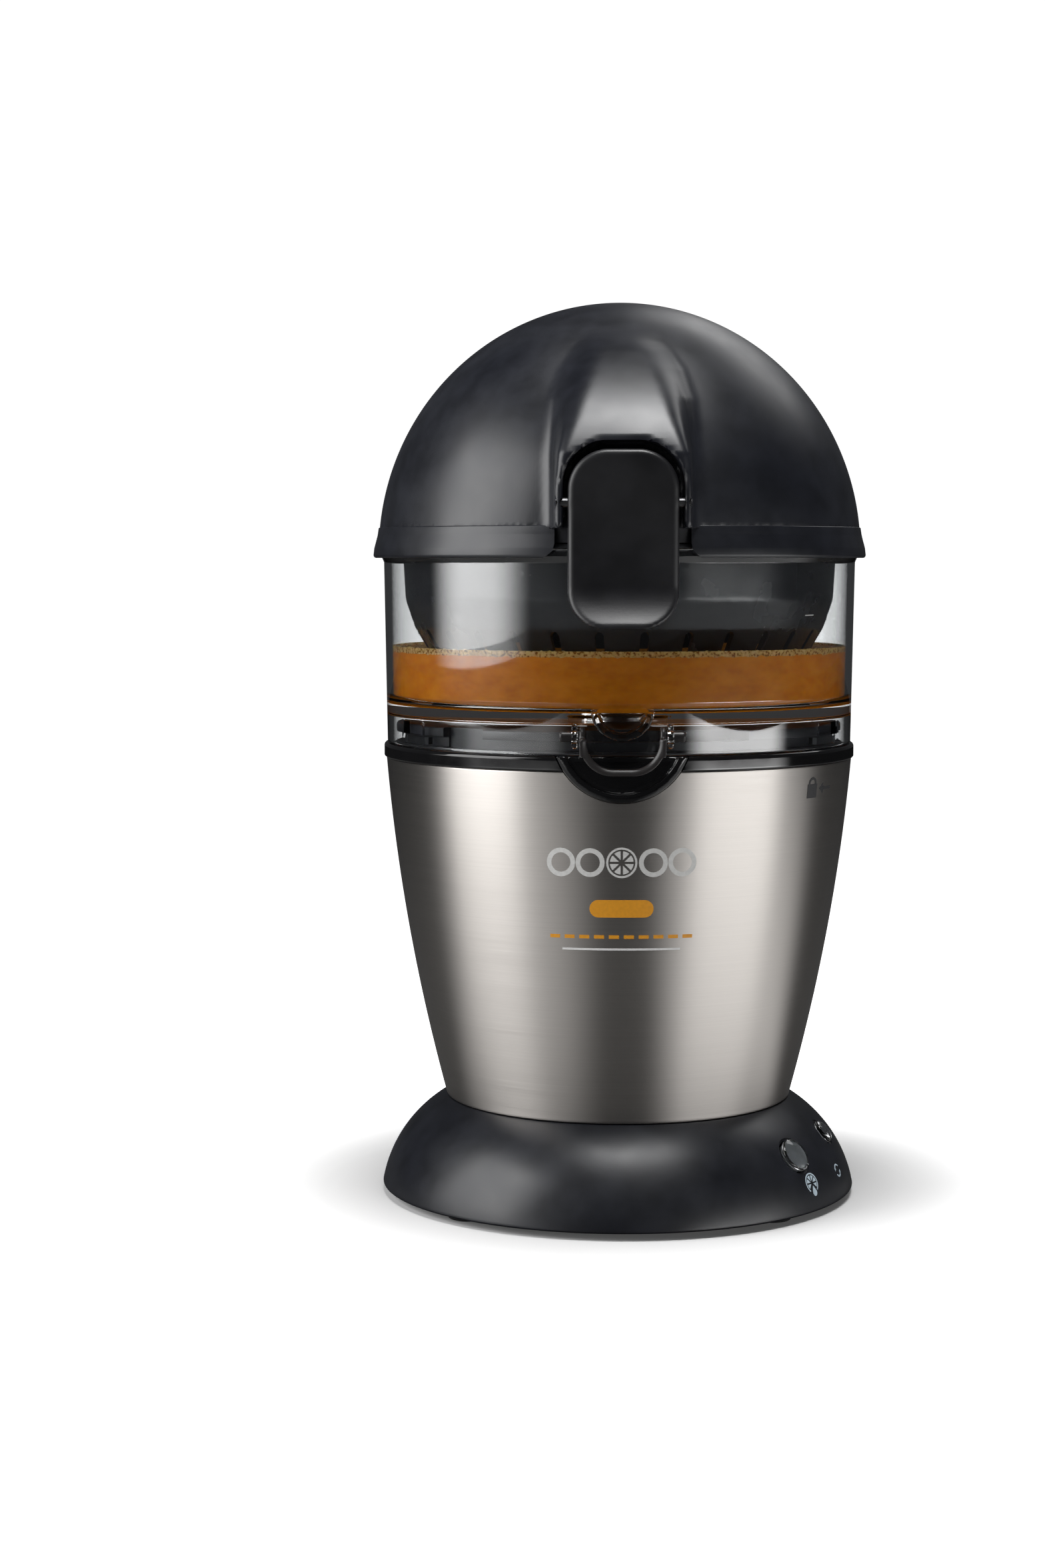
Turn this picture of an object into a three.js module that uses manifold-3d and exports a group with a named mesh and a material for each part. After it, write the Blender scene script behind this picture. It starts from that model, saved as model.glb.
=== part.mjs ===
// A motorised citrus press: a reamer cone turns and climbs on a lead screw, and squeezes half a
// fruit into a press cup that hangs in a domed, latched lid. The juice runs through a slotted
// basket into a clear jar, and out of a tipping spout at the front.
// Millimetres, +Z up. The origin is on the table, under the middle of the body. The front is -Y.

import * as THREE from 'three';
import { mergeVertices } from 'three/addons/utils/BufferGeometryUtils.js';
import Module from 'manifold-3d';

const wasm = await Module();
wasm.setup();

// ---------------------------------------------------------------- driving dimensions

const GAP = 0.3;              // clearance between pieces that touch in the real object
const FIT = 0.05;             // clearance between pieces that are fixed to each other
const SEGMENTS = 28;          // facets around a large round piece
const SMALL_SEGMENTS = 16;    // facets around a small round piece

const FOOT_HEIGHT = 2.5;
const FOOT_RADIUS = 7;
const FOOT_CIRCLE = 74;

// base: a quarter-round moulding, the arc's centre is below the table
const BASE_ARC = { r: 40.3, z: FOOT_HEIGHT - 7.9, radius: 45.7 };
const BASE_WALL = 2.5;
const BASE_TOP = FOOT_HEIGHT + 32.3;

// body: a tapering steel sleeve under a gloss ring
const STEEL_BOTTOM = BASE_TOP + GAP;
const STEEL_TOP = 157.3;
const STEEL_WALL = 1;
const RING_TOP = 162.5;
const RING_RADIUS = 84.2;
const RING_INNER = 80.2;

// deck: the cap of the body, that the jar locks on with four lugs
const DECK_RADIUS = 79.7;
const DECK_TOP = 170.5;
const DECK_CEILING = 166;
const GROOVE_RADIUS = 77.4;
const GROOVE = [163.8, 167.2];
const DECK_FLANGE = [155, 157.2];
const DECK_FLANGE_RADIUS = 82;
const DECK_SKIRT_BOTTOM = 152;
const DECK_SKIRT_INNER = 75;
const BOSS_RADIUS = 10.9;
const BOSS_TOP = 185.5;
const BARREL = { inner: 12.3, outer: 16, bottom: 141.3, shoulder: 156 };
const LUG_AZIMUTHS = [60, 120, 240, 300];   // degrees from the front, counter-clockwise from above
const LUG_HALF_ANGLE = 5;
const JAR_TWIST = 18;                       // degrees from locked to free

// spout: a half-round bezel in the body, and a tipping chute in front of it
const BEZEL = { radius: 23.4, z: 170.5, front: 85, back: 82.3 };
const OUTLET = { radius: 8.5, z: 178.5, wall: 2 };
const CHUTE = { halfWidth: 14.2, wall: 1.8, bottom: 156.9, top: 168.9, back: 86.4, front: 95.2 };
const TRUNNION = { y: -87.5, z: 169.5, radius: 1.8, reach: 20.8 };

// jar
const JAR_FLOOR = [173.5, 176.5];
const JAR_RIM = [228.6, 231];
const JAR_RIM_RADIUS = 85;
const JAR_WALL_INNER = 80.9;
const JAR_SKIRT_BOTTOM = RING_TOP + GAP;
const CHIMNEY = { inner: 11.5, outer: 13.3, top: 189.2 };

// basket
const BASKET_FLANGE = [JAR_RIM[1] + GAP, JAR_RIM[1] + GAP + 1.5];
const BASKET_FLOOR = [184, 186];
const SLOT_COUNT = 30;
const SLOT_WIDTH = 3;
const SLOT_TOP = 203.5;

// lid: an ellipsoid dome on a flared rim
const DOME = { a: 86, c: 88.4, z: 229.9, wall: 2.5 };
const LID_RIM = { bottom: 228.1, top: 238.9, bottomRadius: 88, topRadius: 85.9, inner: 85.45 };
const LID_LEDGE = BASKET_FLANGE[1] + GAP;
const RIM_GAP_HALF = 22.5;
const HOOD = { halfWidth: 23, top: 301.5, corner: 15, front: 95, shoulder: 262, topReach: 53 };
const ARCH = { halfWidth: 19.7, top: 266.2, corner: 14.5 };
const CUP = {
  rim: 224.5, radius: 41, apex: 282, wall: 2.5, straight: 236, split: 262, stem: 9, stemTop: 308,
};
const CUP_BOSS = { radius: 6, bottom: 290 };

// latches, one at the front and one at the back
const LATCH = { halfWidth: 18.15, bottom: 205.1, top: 263.3, front: 97, thickness: 4, scoop: 104 };
const LATCH_PIN = { y: 92.5, z: 246.1, radius: 1.6, reach: 22 };

// drive: module 1.5 spur gears, 12 to 36 and 12 to 40 teeth, then a keyed lead screw
const GEAR = { module: 1.5, pressure: THREE.MathUtils.degToRad(20), addendum: 0.75, dedendum: 1.25 };
const BACKLASH = 0.24;
const TEETH = { pinion: 12, idler: 36, idlerPinion: 12, main: 40 };
const LOWER_LEVEL = [117, 123];
const UPPER_LEVEL = [125, 131];
const LOWER_PLATE = [111, 114];
const UPPER_PLATE = [133.5, 136.5];
const SCREW_RADIUS = 6;
const SCREW_SPAN = [92, 222];
const HEX_START = 196;
const HEX_FLATS = 9;
const MOTOR = { radius: 21, bottom: 44, top: 110.7, offset: 33 };
const CONE = { base: 192.5, rim: 195.5, radius: 31, tip: 238.5, ribs: 8 };

// buttons: diameter, place around the base, height on its surface
const BUTTONS = {
  start: { radius: 6, azimuth: 52, z: 21.5 },
  return: { radius: 4.25, azimuth: 76, z: 23.9 },
};

// ---------------------------------------------------------------- materials

function material(color, roughness, metalness = 0, opacity = 1) {
  return new THREE.MeshStandardMaterial({
    color, roughness, metalness, opacity, transparent: opacity < 1,
  });
}

const SATIN_BLACK = material(0x141414, 0.45);
const GLOSS_BLACK = material(0x0b0b0b, 0.12);
const BRUSHED_STEEL = material(0x9c938a, 0.34, 1);
const BRIGHT_STEEL = material(0xb8b8b8, 0.3, 1);
const CLEAR = material(0xe8eeee, 0.08, 0, 0.3);
const SMOKE = material(0x26221f, 0.35);
const GREY_PLASTIC = material(0x7d7f80, 0.5);
const NATURAL_PLASTIC = material(0xd9d4c4, 0.5);
const RUBBER = material(0x1c1c1c, 0.9);
const BRASS = material(0xb08d3f, 0.35, 1);
const COPPER = material(0x9a5a33, 0.4, 1);
const BOARD_GREEN = material(0x1f5a34, 0.6);

// ---------------------------------------------------------------- solids

// a geometry with shared vertices, no empty triangles, and its faces pointing out
function clean(geometry) {
  const bare = geometry.clone();
  bare.deleteAttribute('normal');
  bare.deleteAttribute('uv');
  const merged = mergeVertices(bare, 1e-4);
  const index = merged.index.array;
  const corner = [new THREE.Vector3(), new THREE.Vector3(), new THREE.Vector3()];
  const kept = [];
  let volume = 0;
  for (let i = 0; i < index.length; i += 3) {
    const [a, b, c] = [index[i], index[i + 1], index[i + 2]];
    if (a === b || b === c || c === a) continue;
    [a, b, c].forEach((v, k) => corner[k].fromBufferAttribute(merged.attributes.position, v));
    volume += corner[0].dot(corner[1].cross(corner[2])) / 6;
    kept.push([a, b, c]);
  }
  merged.setIndex(kept.flatMap(([a, b, c]) => (volume < 0 ? [a, c, b] : [a, b, c])));
  return merged;
}

function toSolid(geometry) {
  const merged = clean(geometry);
  return new wasm.Manifold(new wasm.Mesh({
    numProp: 3,
    vertProperties: new Float32Array(merged.attributes.position.array),
    triVerts: new Uint32Array(merged.index.array),
  }));
}

function toGeometry(solid) {
  const mesh = solid.getMesh();
  const geometry = new THREE.BufferGeometry();
  geometry.setAttribute('position', new THREE.BufferAttribute(mesh.vertProperties, 3));
  geometry.setIndex(new THREE.BufferAttribute(mesh.triVerts, 1));
  return geometry;
}

function combine(first, others, how) {
  return toGeometry(others.reduce((sum, other) => sum[how](toSolid(other)), toSolid(first)));
}

const join = (first, ...others) => combine(first, others, 'add');
const cut = (first, ...others) => combine(first, others, 'subtract');
const common = (first, ...others) => combine(first, others, 'intersect');

// a profile of [radius, z] points turned around the Z axis; it closes on itself
function turned(profile, segments = SEGMENTS) {
  const points = [...profile, profile[0]].map(([r, z]) => new THREE.Vector2(r, z));
  return clean(new THREE.LatheGeometry(points, segments).rotateX(Math.PI / 2));
}

function rod(radius, z0, z1, segments = SMALL_SEGMENTS) {
  return new THREE.CylinderGeometry(radius, radius, z1 - z0, segments)
    .rotateX(Math.PI / 2).translate(0, 0, (z0 + z1) / 2);
}

function rodX(radius, x0, x1, y, z, segments = 16) {
  return new THREE.CylinderGeometry(radius, radius, x1 - x0, segments)
    .rotateZ(Math.PI / 2).translate((x0 + x1) / 2, y, z);
}

function rodY(radius, y0, y1, x, z, segments = 24) {
  return new THREE.CylinderGeometry(radius, radius, y1 - y0, segments)
    .translate(x, (y0 + y1) / 2, z);
}

function block([x0, x1], [y0, y1], [z0, z1]) {
  return new THREE.BoxGeometry(x1 - x0, y1 - y0, z1 - z0)
    .translate((x0 + x1) / 2, (y0 + y1) / 2, (z0 + z1) / 2);
}

function extruded(shape, depth, curveSegments = 8) {
  return new THREE.ExtrudeGeometry(shape, { depth, bevelEnabled: false, curveSegments });
}

// a shape drawn in (x, z) and pushed along Y from y0 to y1
function frontPrism(shape, y0, y1, curveSegments) {
  return extruded(shape, y1 - y0, curveSegments).rotateX(Math.PI / 2).translate(0, y1, 0);
}

// a shape drawn in (y, z) and pushed along X from x0 to x1
function sidePrism(shape, x0, x1, curveSegments) {
  const turn = new THREE.Matrix4().makeBasis(
    new THREE.Vector3(0, 1, 0), new THREE.Vector3(0, 0, 1), new THREE.Vector3(1, 0, 0));
  return extruded(shape, x1 - x0, curveSegments).applyMatrix4(turn).translate(x0, 0, 0);
}

function outline(points) {
  return new THREE.Shape(points.map(([x, y]) => new THREE.Vector2(x, y)));
}

// an upright slab outline, half a width wide, with its bottom and top corners rounded
function roundedSlab(halfWidth, z0, z1, bottomCorner, topCorner) {
  const shape = new THREE.Shape();
  const right = Math.PI / 2;
  shape.moveTo(-halfWidth, z0 + bottomCorner);
  shape.lineTo(-halfWidth, z1 - topCorner);
  if (topCorner > 0) {
    const x = halfWidth - topCorner;
    shape.absarc(-x, z1 - topCorner, topCorner, 2 * right, right, true);
    shape.absarc(x, z1 - topCorner, topCorner, right, 0, true);
  } else {
    shape.lineTo(halfWidth, z1);
  }
  shape.lineTo(halfWidth, z0 + bottomCorner);
  if (bottomCorner > 0) {
    const x = halfWidth - bottomCorner;
    shape.absarc(x, z0 + bottomCorner, bottomCorner, 0, -right, true);
    shape.absarc(-x, z0 + bottomCorner, bottomCorner, -right, -2 * right, true);
  } else {
    shape.lineTo(-halfWidth, z0);
  }
  return shape;
}

// the angle of an azimuth: 0 is the front (-Y), growing towards +X
const azimuthAngle = (degrees) => THREE.MathUtils.degToRad(degrees - 90);

const atAzimuth = (degrees, radius) => [
  radius * Math.cos(azimuthAngle(degrees)), radius * Math.sin(azimuthAngle(degrees)),
];

// a ring sector between two radii and two azimuths
function sector(azimuth0, azimuth1, inner, outer, [z0, z1]) {
  const shape = new THREE.Shape();
  const [start, end] = [azimuthAngle(azimuth0), azimuthAngle(azimuth1)];
  shape.absarc(0, 0, outer, start, end, false);
  shape.absarc(0, 0, inner, end, start, true);
  return extruded(shape, z1 - z0, 6).translate(0, 0, z0);
}

function mesh(name, geometry, finish) {
  const piece = new THREE.Mesh(geometry, finish);
  piece.name = name;
  return piece;
}

function body(...children) {
  const group = new THREE.Group();
  group.add(...children);
  return group;
}

const mirrored = (geometry) => clean(geometry.clone().scale(1, -1, 1));

const disc = (radius, x, z) => new THREE.Shape().absarc(x, z, radius, 0, 2 * Math.PI, false);

// evenly spaced values from a to b, both included
const steps = (a, b, count) => Array.from({ length: count }, (_, i) => a + (b - a) * i / (count - 1));

// points of an ellipse quarter from its equator (t = 0) to its top (t = 1)
function ellipse(a, c, z, t0, t1, count) {
  return steps(t0, t1, count).map((t) => [
    a * Math.cos(t * Math.PI / 2), z + c * Math.sin(t * Math.PI / 2),
  ]);
}

// ---------------------------------------------------------------- body: base

const arcRadiusAt = (radius, z) => BASE_ARC.r + Math.sqrt(radius ** 2 - (z - BASE_ARC.z) ** 2);

function baseArc(radius, z0, z1, count) {
  const angle = (z) => Math.asin((z - BASE_ARC.z) / radius);
  return steps(angle(z0), angle(z1), count).map((a) => [
    BASE_ARC.r + radius * Math.cos(a), BASE_ARC.z + radius * Math.sin(a),
  ]);
}

// moves a piece drawn on the Z axis so that +Z becomes the base's outward normal
function onBase(geometry, { azimuth, z }) {
  const radius = arcRadiusAt(BASE_ARC.radius, z);
  const around = azimuthAngle(azimuth);
  const out = new THREE.Vector3(Math.cos(around), Math.sin(around), 0);
  const normal = out.clone().multiplyScalar(radius - BASE_ARC.r);
  normal.z = z - BASE_ARC.z;
  normal.normalize();
  const side = new THREE.Vector3(-out.y, out.x, 0);
  const up = new THREE.Vector3().crossVectors(normal, side);
  const place = new THREE.Matrix4().makeBasis(side, up, normal)
    .setPosition(out.x * radius, out.y * radius, z);
  return geometry.applyMatrix4(place);
}

const SCREW_CIRCLE = 56;
const PLATE_TOP = FOOT_HEIGHT + 2.2;
const WELL_TOP = 9;
const BOSS_BOTTOM = WELL_TOP + GAP;
const LEDGE = [BASE_TOP - 3, BASE_TOP];
const LEDGE_INNER = 52;
const INLET = { z: 14, bore: 3.6, radius: 5.7, span: [72.5, 87], flange: [70.5, 72.5] };
const SCREW_AZIMUTHS = [0, 90, 180, 270];
const FOOT_AZIMUTHS = { front_right: 45, rear_right: 135, rear_left: 225, front_left: 315 };

function baseShell() {
  const innerRadius = BASE_ARC.radius - BASE_WALL;
  const shell = turned([
    ...baseArc(BASE_ARC.radius, FOOT_HEIGHT, BASE_TOP, 7),
    [LEDGE_INNER, LEDGE[1]], [LEDGE_INNER, LEDGE[0]],
    ...baseArc(innerRadius, LEDGE[0], FOOT_HEIGHT, 5),
  ]);
  const bosses = SCREW_AZIMUTHS.map((azimuth) => (
    rod(4.5, BOSS_BOTTOM, LEDGE[0] + 1, 12).translate(...atAzimuth(azimuth, SCREW_CIRCLE), 0)));
  const pilotHoles = SCREW_AZIMUTHS.map((azimuth) => (
    rod(1.8, BOSS_BOTTOM - 1, 22, 10).translate(...atAzimuth(azimuth, SCREW_CIRCLE), 0)));
  const buttonHoles = Object.values(BUTTONS).flatMap((button) => [
    onBase(rod(button.radius + GAP, -12, 5), button),
    onBase(rod(button.radius + 1.1, -0.7, 5), button),
  ]);
  const inletHole = rodY(INLET.radius + GAP, 60, 100, 0, INLET.z, 20);
  return cut(join(shell, ...bosses), ...pilotHoles, ...buttonHoles, inletHole);
}

function bottomPlate() {
  const plate = turned([
    [82, FOOT_HEIGHT], [82, PLATE_TOP], [0, PLATE_TOP], [0, FOOT_HEIGHT],
  ]);
  const at = (geometry, azimuth, radius) => geometry.translate(...atAzimuth(azimuth, radius), 0);
  const wells = SCREW_AZIMUTHS.map((azimuth) => (
    at(rod(6, FOOT_HEIGHT, WELL_TOP, 14), azimuth, SCREW_CIRCLE)));
  const holes = SCREW_AZIMUTHS.flatMap((azimuth) => [
    at(rod(3.9, 0, 6.5, 14), azimuth, SCREW_CIRCLE),
    at(rod(1.9, 0, WELL_TOP + 1, 10), azimuth, SCREW_CIRCLE),
  ]);
  const footHoles = Object.values(FOOT_AZIMUTHS).map((azimuth) => (
    at(rod(3 + GAP, 0, WELL_TOP, 14), azimuth, FOOT_CIRCLE)));
  return cut(join(plate, ...wells), ...holes, ...footHoles);
}

function foot() {
  const plateBottom = FOOT_HEIGHT - GAP;
  return turned([
    [0, 0], [FOOT_RADIUS - 0.6, 0], [FOOT_RADIUS, 0.6], [FOOT_RADIUS, plateBottom],
    [3, plateBottom], [3, PLATE_TOP + GAP], [4, PLATE_TOP + GAP], [3, PLATE_TOP + 1.8],
    [0, PLATE_TOP + 1.8],
  ], 14);
}

function baseScrew() {
  return turned([[0, 4.4], [3.5, 4.4], [3.5, 6.2], [1.5, 6.2], [1.5, 19], [0, 20.5]], 12);
}

function cordInlet() {
  const profile = [
    [INLET.bore, INLET.flange[0]], [7.5, INLET.flange[0]], [7.5, INLET.flange[1]],
    [INLET.radius, INLET.flange[1]], [INLET.radius, INLET.span[1] - 1],
    [INLET.radius - 1, INLET.span[1]], [INLET.bore, INLET.span[1]],
  ];
  return turned(profile, SMALL_SEGMENTS).rotateX(-Math.PI / 2).translate(0, 0, INLET.z);
}

// a cap with a retaining flange behind the base's wall
function buttonCap(button) {
  const { radius } = button;
  return onBase(turned([
    [0, -7.4], [radius + 1.1, -6.2], [radius + 1.1, -4.8], [radius, -4.8], [radius, 0.9],
    [radius - 0.8, 1.5], [0, 1.8],
  ], 16), button);
}

const buttonSwitch = (button) => onBase(block([-4, 4], [-4, 4], [-14.5, -9]), button);

const controlBoard = () => block([-52, 8], [-44, -8], [6.6, 8.2]);

// ---------------------------------------------------------------- body: sleeve, ring, deck

const steelRadius = (z) => {
  const down = STEEL_TOP - z;
  return 83.4 - 0.082 * down - 0.000762 * down ** 2;
};

const bezelOpening = () => (
  frontPrism(disc(BEZEL.radius + GAP, 0, BEZEL.z), -100, -40, 16));

function steelShell() {
  const floorTop = STEEL_BOTTOM + STEEL_WALL;
  const shell = turned([
    ...steps(STEEL_TOP, STEEL_BOTTOM, 7).map((z) => [steelRadius(z), z]),
    [54, STEEL_BOTTOM], [54, floorTop],
    ...steps(floorTop, STEEL_TOP, 7).map((z) => [steelRadius(z) - STEEL_WALL, z]),
  ]);
  return cut(shell, bezelOpening());
}

function topRing() {
  const z0 = STEEL_TOP + 0.2;
  const ring = turned([
    [RING_RADIUS, z0], [RING_RADIUS, RING_TOP - 0.8], [RING_RADIUS - 0.8, RING_TOP],
    [RING_INNER, RING_TOP], [RING_INNER, z0],
  ]);
  return cut(ring, bezelOpening());
}

// a half-round drip shield with a raised rim, flush with the ring's top
function spoutBezel() {
  const { front, back, radius, z } = BEZEL;
  const wall = turned([[front, 140], [front, RING_TOP], [back, RING_TOP], [back, 140]]);
  const plate = common(wall, frontPrism(disc(radius, 0, z), -100, -40, 16));
  const dish = cut(
    frontPrism(disc(radius - 3, 0, z), -100, -40, 16), rod(front - 1.3, 100, 200, SEGMENTS));
  return cut(plate, dish);
}

function deck() {
  const [grooveBottom, grooveTop] = GROOVE;
  const [flangeBottom, flangeTop] = DECK_FLANGE;
  const cap = turned([
    [BARREL.outer + FIT, DECK_TOP], [DECK_RADIUS, DECK_TOP], [DECK_RADIUS, grooveTop],
    [GROOVE_RADIUS, grooveTop], [GROOVE_RADIUS, grooveBottom], [DECK_RADIUS, grooveBottom],
    [DECK_RADIUS, flangeTop], [DECK_FLANGE_RADIUS, flangeTop], [DECK_FLANGE_RADIUS, flangeBottom],
    [DECK_RADIUS, flangeBottom], [DECK_RADIUS, DECK_SKIRT_BOTTOM], [DECK_SKIRT_INNER, DECK_SKIRT_BOTTOM],
    [DECK_SKIRT_INNER, DECK_CEILING], [BARREL.outer + FIT, DECK_CEILING],
  ]);
  const lugEntries = LUG_AZIMUTHS.map((azimuth) => {
    const free = azimuth + JAR_TWIST;
    const half = LUG_HALF_ANGLE + 1.5;
    return sector(free - half, free + half, 76.8, 82, [grooveBottom - 0.2, DECK_TOP + 1]);
  });
  const outletRecess = sector(-14, JAR_TWIST + 14, 68.5, 82, [167, DECK_TOP + 1]);
  return cut(cap, ...lugEntries, outletRecess);
}

// the guide that stands through the deck: a barrel round the nut below, a boss round the screw above
const screwGuide = () => turned([
  [SCREW_RADIUS + 0.5, BOSS_TOP], [BOSS_RADIUS, BOSS_TOP], [BOSS_RADIUS, DECK_TOP],
  [BARREL.outer, DECK_TOP], [BARREL.outer, BARREL.bottom], [BARREL.inner, BARREL.bottom],
  [BARREL.inner, BARREL.shoulder], [SCREW_RADIUS + 0.5, BARREL.shoulder],
]);

const deckSeal = () => turned([
  [6.45, 185.8], [10.6, 185.8], [10.6, 187], [8, 187], [6.9, 188.2], [6.45, 188.2],
], SMALL_SEGMENTS);

// ---------------------------------------------------------------- drive

const involute = (angle) => Math.tan(angle) - angle;

// one tooth is centred on angle 0
function gearOutline(teeth) {
  const pitch = GEAR.module * teeth / 2;
  const base = pitch * Math.cos(GEAR.pressure);
  const tip = pitch + GEAR.addendum * GEAR.module;
  const root = pitch - GEAR.dedendum * GEAR.module;
  const halfTooth = Math.PI / 2 / teeth - BACKLASH / 2 / pitch;
  const halfAt = (radius) => (
    halfTooth + involute(GEAR.pressure) - involute(Math.acos(Math.min(1, base / radius))));
  const flank = teeth < 20 ? [base, (base + tip) / 2, tip] : [tip];
  const side = [[root, halfAt(base)], ...flank.map((radius) => [radius, halfAt(radius)])];
  const tooth = [
    ...side.map(([radius, half]) => [radius, -half]),
    ...side.toReversed(),
  ];
  return outline(steps(0, teeth - 1, teeth).flatMap((k) => (
    tooth.map(([radius, angle]) => {
      const around = angle + k * 2 * Math.PI / teeth;
      return [radius * Math.cos(around), radius * Math.sin(around)];
    }))));
}

const gear = (teeth, [z0, z1], turn) => (
  extruded(gearOutline(teeth), z1 - z0).rotateZ(turn).translate(0, 0, z0));

const centreDistance = (a, b) => GEAR.module * (TEETH[a] + TEETH[b]) / 2;
const IDLER_DISTANCE = centreDistance('idlerPinion', 'main');
const MOTOR_TO_IDLER = centreDistance('pinion', 'idler');
const IDLER_CENTRE = [-IDLER_DISTANCE, 0];
// the motor's place, from the three sides of the triangle of gear centres
const MOTOR_ANGLE = Math.PI - Math.acos(
  (IDLER_DISTANCE ** 2 + MOTOR.offset ** 2 - MOTOR_TO_IDLER ** 2)
  / (2 * IDLER_DISTANCE * MOTOR.offset));
const MOTOR_CENTRE = [
  MOTOR.offset * Math.cos(MOTOR_ANGLE), MOTOR.offset * Math.sin(MOTOR_ANGLE),
];
const MOTOR_FROM_IDLER = Math.atan2(
  MOTOR_CENTRE[1] - IDLER_CENTRE[1], MOTOR_CENTRE[0] - IDLER_CENTRE[0]);

// meshing: one gear has a tooth on the line of centres, and its mate has a gap there
const halfPitch = (teeth) => Math.PI / teeth;

const PLATE_RADIUS = 60;
const POST_CIRCLE = 52;
const POST_AZIMUTHS = [45, 135, 225, 315];

function gearboxPlate([z0, z1], postTop) {
  const plate = rod(PLATE_RADIUS, z0, z1, 24);
  const posts = POST_AZIMUTHS.map((azimuth) => (
    rod(4, z1 - 1, postTop, 10).translate(...atAzimuth(azimuth, POST_CIRCLE), 0)));
  const screwBore = rod(8.5, z0 - 1, z1 + 1, 24);
  const axleBore = rod(2.3, z0 - 1, z1 + 1, 12).translate(...IDLER_CENTRE, 0);
  return cut(join(plate, ...posts), screwBore, axleBore);
}

function gearboxBase() {
  const shaftHole = rod(6, LOWER_PLATE[0] - 1, LOWER_PLATE[1] + 1, 16);
  shaftHole.translate(...MOTOR_CENTRE, 0);
  return cut(gearboxPlate(LOWER_PLATE, UPPER_PLATE[0] - GAP), shaftHole);
}

const gearboxCover = () => gearboxPlate(UPPER_PLATE, DECK_CEILING - GAP);

function motorCan() {
  const { radius, bottom, top } = MOTOR;
  return turned([
    [radius, bottom], [radius, top - 1], [radius - 1, top], [3.2, top], [3.2, top - 2],
    [radius - 1.5, top - 2], [radius - 1.5, bottom],
  ], 24);
}

const motorEndCap = () => {
  const { radius, bottom } = MOTOR;
  const edge = radius - 1.5 - GAP;
  return turned([[2.5, bottom], [edge, bottom], [edge, bottom + 2.5], [2.5, bottom + 2.5]], 24);
};

const motorRotor = () => turned([
  [0, 42], [2, 42], [2, 54], [15, 54], [15, 98], [2, 98], [2, LOWER_LEVEL[1] + 0.5],
  [0, LOWER_LEVEL[1] + 0.5],
], 18);

function motorPinion() {
  const turn = MOTOR_FROM_IDLER + Math.PI + halfPitch(TEETH.pinion);
  return cut(gear(TEETH.pinion, LOWER_LEVEL, turn), rod(2 + GAP, 100, 140, 12));
}

function idlerGear() {
  const large = gear(TEETH.idler, LOWER_LEVEL, MOTOR_FROM_IDLER);
  const small = gear(TEETH.idlerPinion, [LOWER_LEVEL[1] - 0.5, UPPER_LEVEL[1] + 0.5], 0);
  const hub = rod(5, LOWER_PLATE[1] + 0.4, UPPER_PLATE[0] - 0.4, 16);
  return cut(join(large, small, hub), rod(2 + GAP, 100, 140, 12));
}

const KEY = { halfWidth: 1, depth: 1.2 };

function mainGear() {
  const wheel = gear(TEETH.main, UPPER_LEVEL, Math.PI + halfPitch(TEETH.main));
  const shoulder = rod(9.6, LOWER_PLATE[1] + 0.4, UPPER_PLATE[0] - 0.4, 24);
  const hub = rod(8.2, LOWER_PLATE[0], UPPER_PLATE[1], 24);
  const bore = rod(SCREW_RADIUS + 0.4, 100, 150);
  const keys = [-1, 1].map((side) => block(
    [side > 0 ? SCREW_RADIUS - KEY.depth : -8, side > 0 ? 8 : KEY.depth - SCREW_RADIUS],
    [-KEY.halfWidth, KEY.halfWidth], [LOWER_PLATE[0] + 0.5, UPPER_PLATE[1] - 0.5]));
  return join(cut(join(wheel, shoulder, hub), bore), ...keys);
}

const hexagon = (flats, z0, z1) => rod(flats / Math.sqrt(3), z0, z1, 6);

// a keyed lead screw, with a hexagon on top for the reamer
function leadScrew() {
  const [bottom, top] = SCREW_SPAN;
  const shaft = turned([
    [0, bottom], [SCREW_RADIUS - 0.8, bottom], [SCREW_RADIUS, bottom + 0.8],
    [SCREW_RADIUS, HEX_START], [0, HEX_START],
  ], SMALL_SEGMENTS);
  const slotDepth = SCREW_RADIUS - KEY.depth - 0.4;
  const slotHalf = KEY.halfWidth + 0.4;
  const keyways = [[slotDepth, 8], [-8, -slotDepth]].map((span) => (
    block(span, [-slotHalf, slotHalf], [bottom - 1, 142])));
  return join(cut(shaft, ...keyways), hexagon(HEX_FLATS, HEX_START - 1, top));
}

const spindleNut = () => turned([
  [SCREW_RADIUS + 0.35, 138.8], [15, 138.8], [15, 141], [12, 141], [12, 155.7],
  [SCREW_RADIUS + 0.35, 155.7],
], SMALL_SEGMENTS);

// the reamer: a ribbed cone on a wide foot
function reamerCone() {
  const { base, rim, radius, tip, ribs } = CONE;
  const flanks = [[26, rim + 1.5], [21, 212], [13.5, 226], [5, 236], [0, tip]];
  const body = turned([[0, base], [radius - 1, base], [radius, base + 1], [radius, rim], ...flanks], 24);
  const blade = outline([
    [8, base + 1], [28.5, base + 1], [28.5, rim], [24, 211], [15.5, 227], [6, 236.6], [4, 236.6],
  ]);
  const blades = steps(0, ribs - 1, ribs).map((k) => (
    frontPrism(blade, -0.9, 0.9).rotateZ(k * 2 * Math.PI / ribs)));
  const socket = hexagon(HEX_FLATS + 0.7, base - 1, SCREW_SPAN[1] + GAP);
  const counterbore = rod(SCREW_RADIUS + 0.4, base - 1, HEX_START + GAP);
  return cut(join(body, ...blades), socket, counterbore);
}

// ---------------------------------------------------------------- jar and spout

const OUTLET_SHELL = OUTLET.radius + OUTLET.wall;

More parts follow.
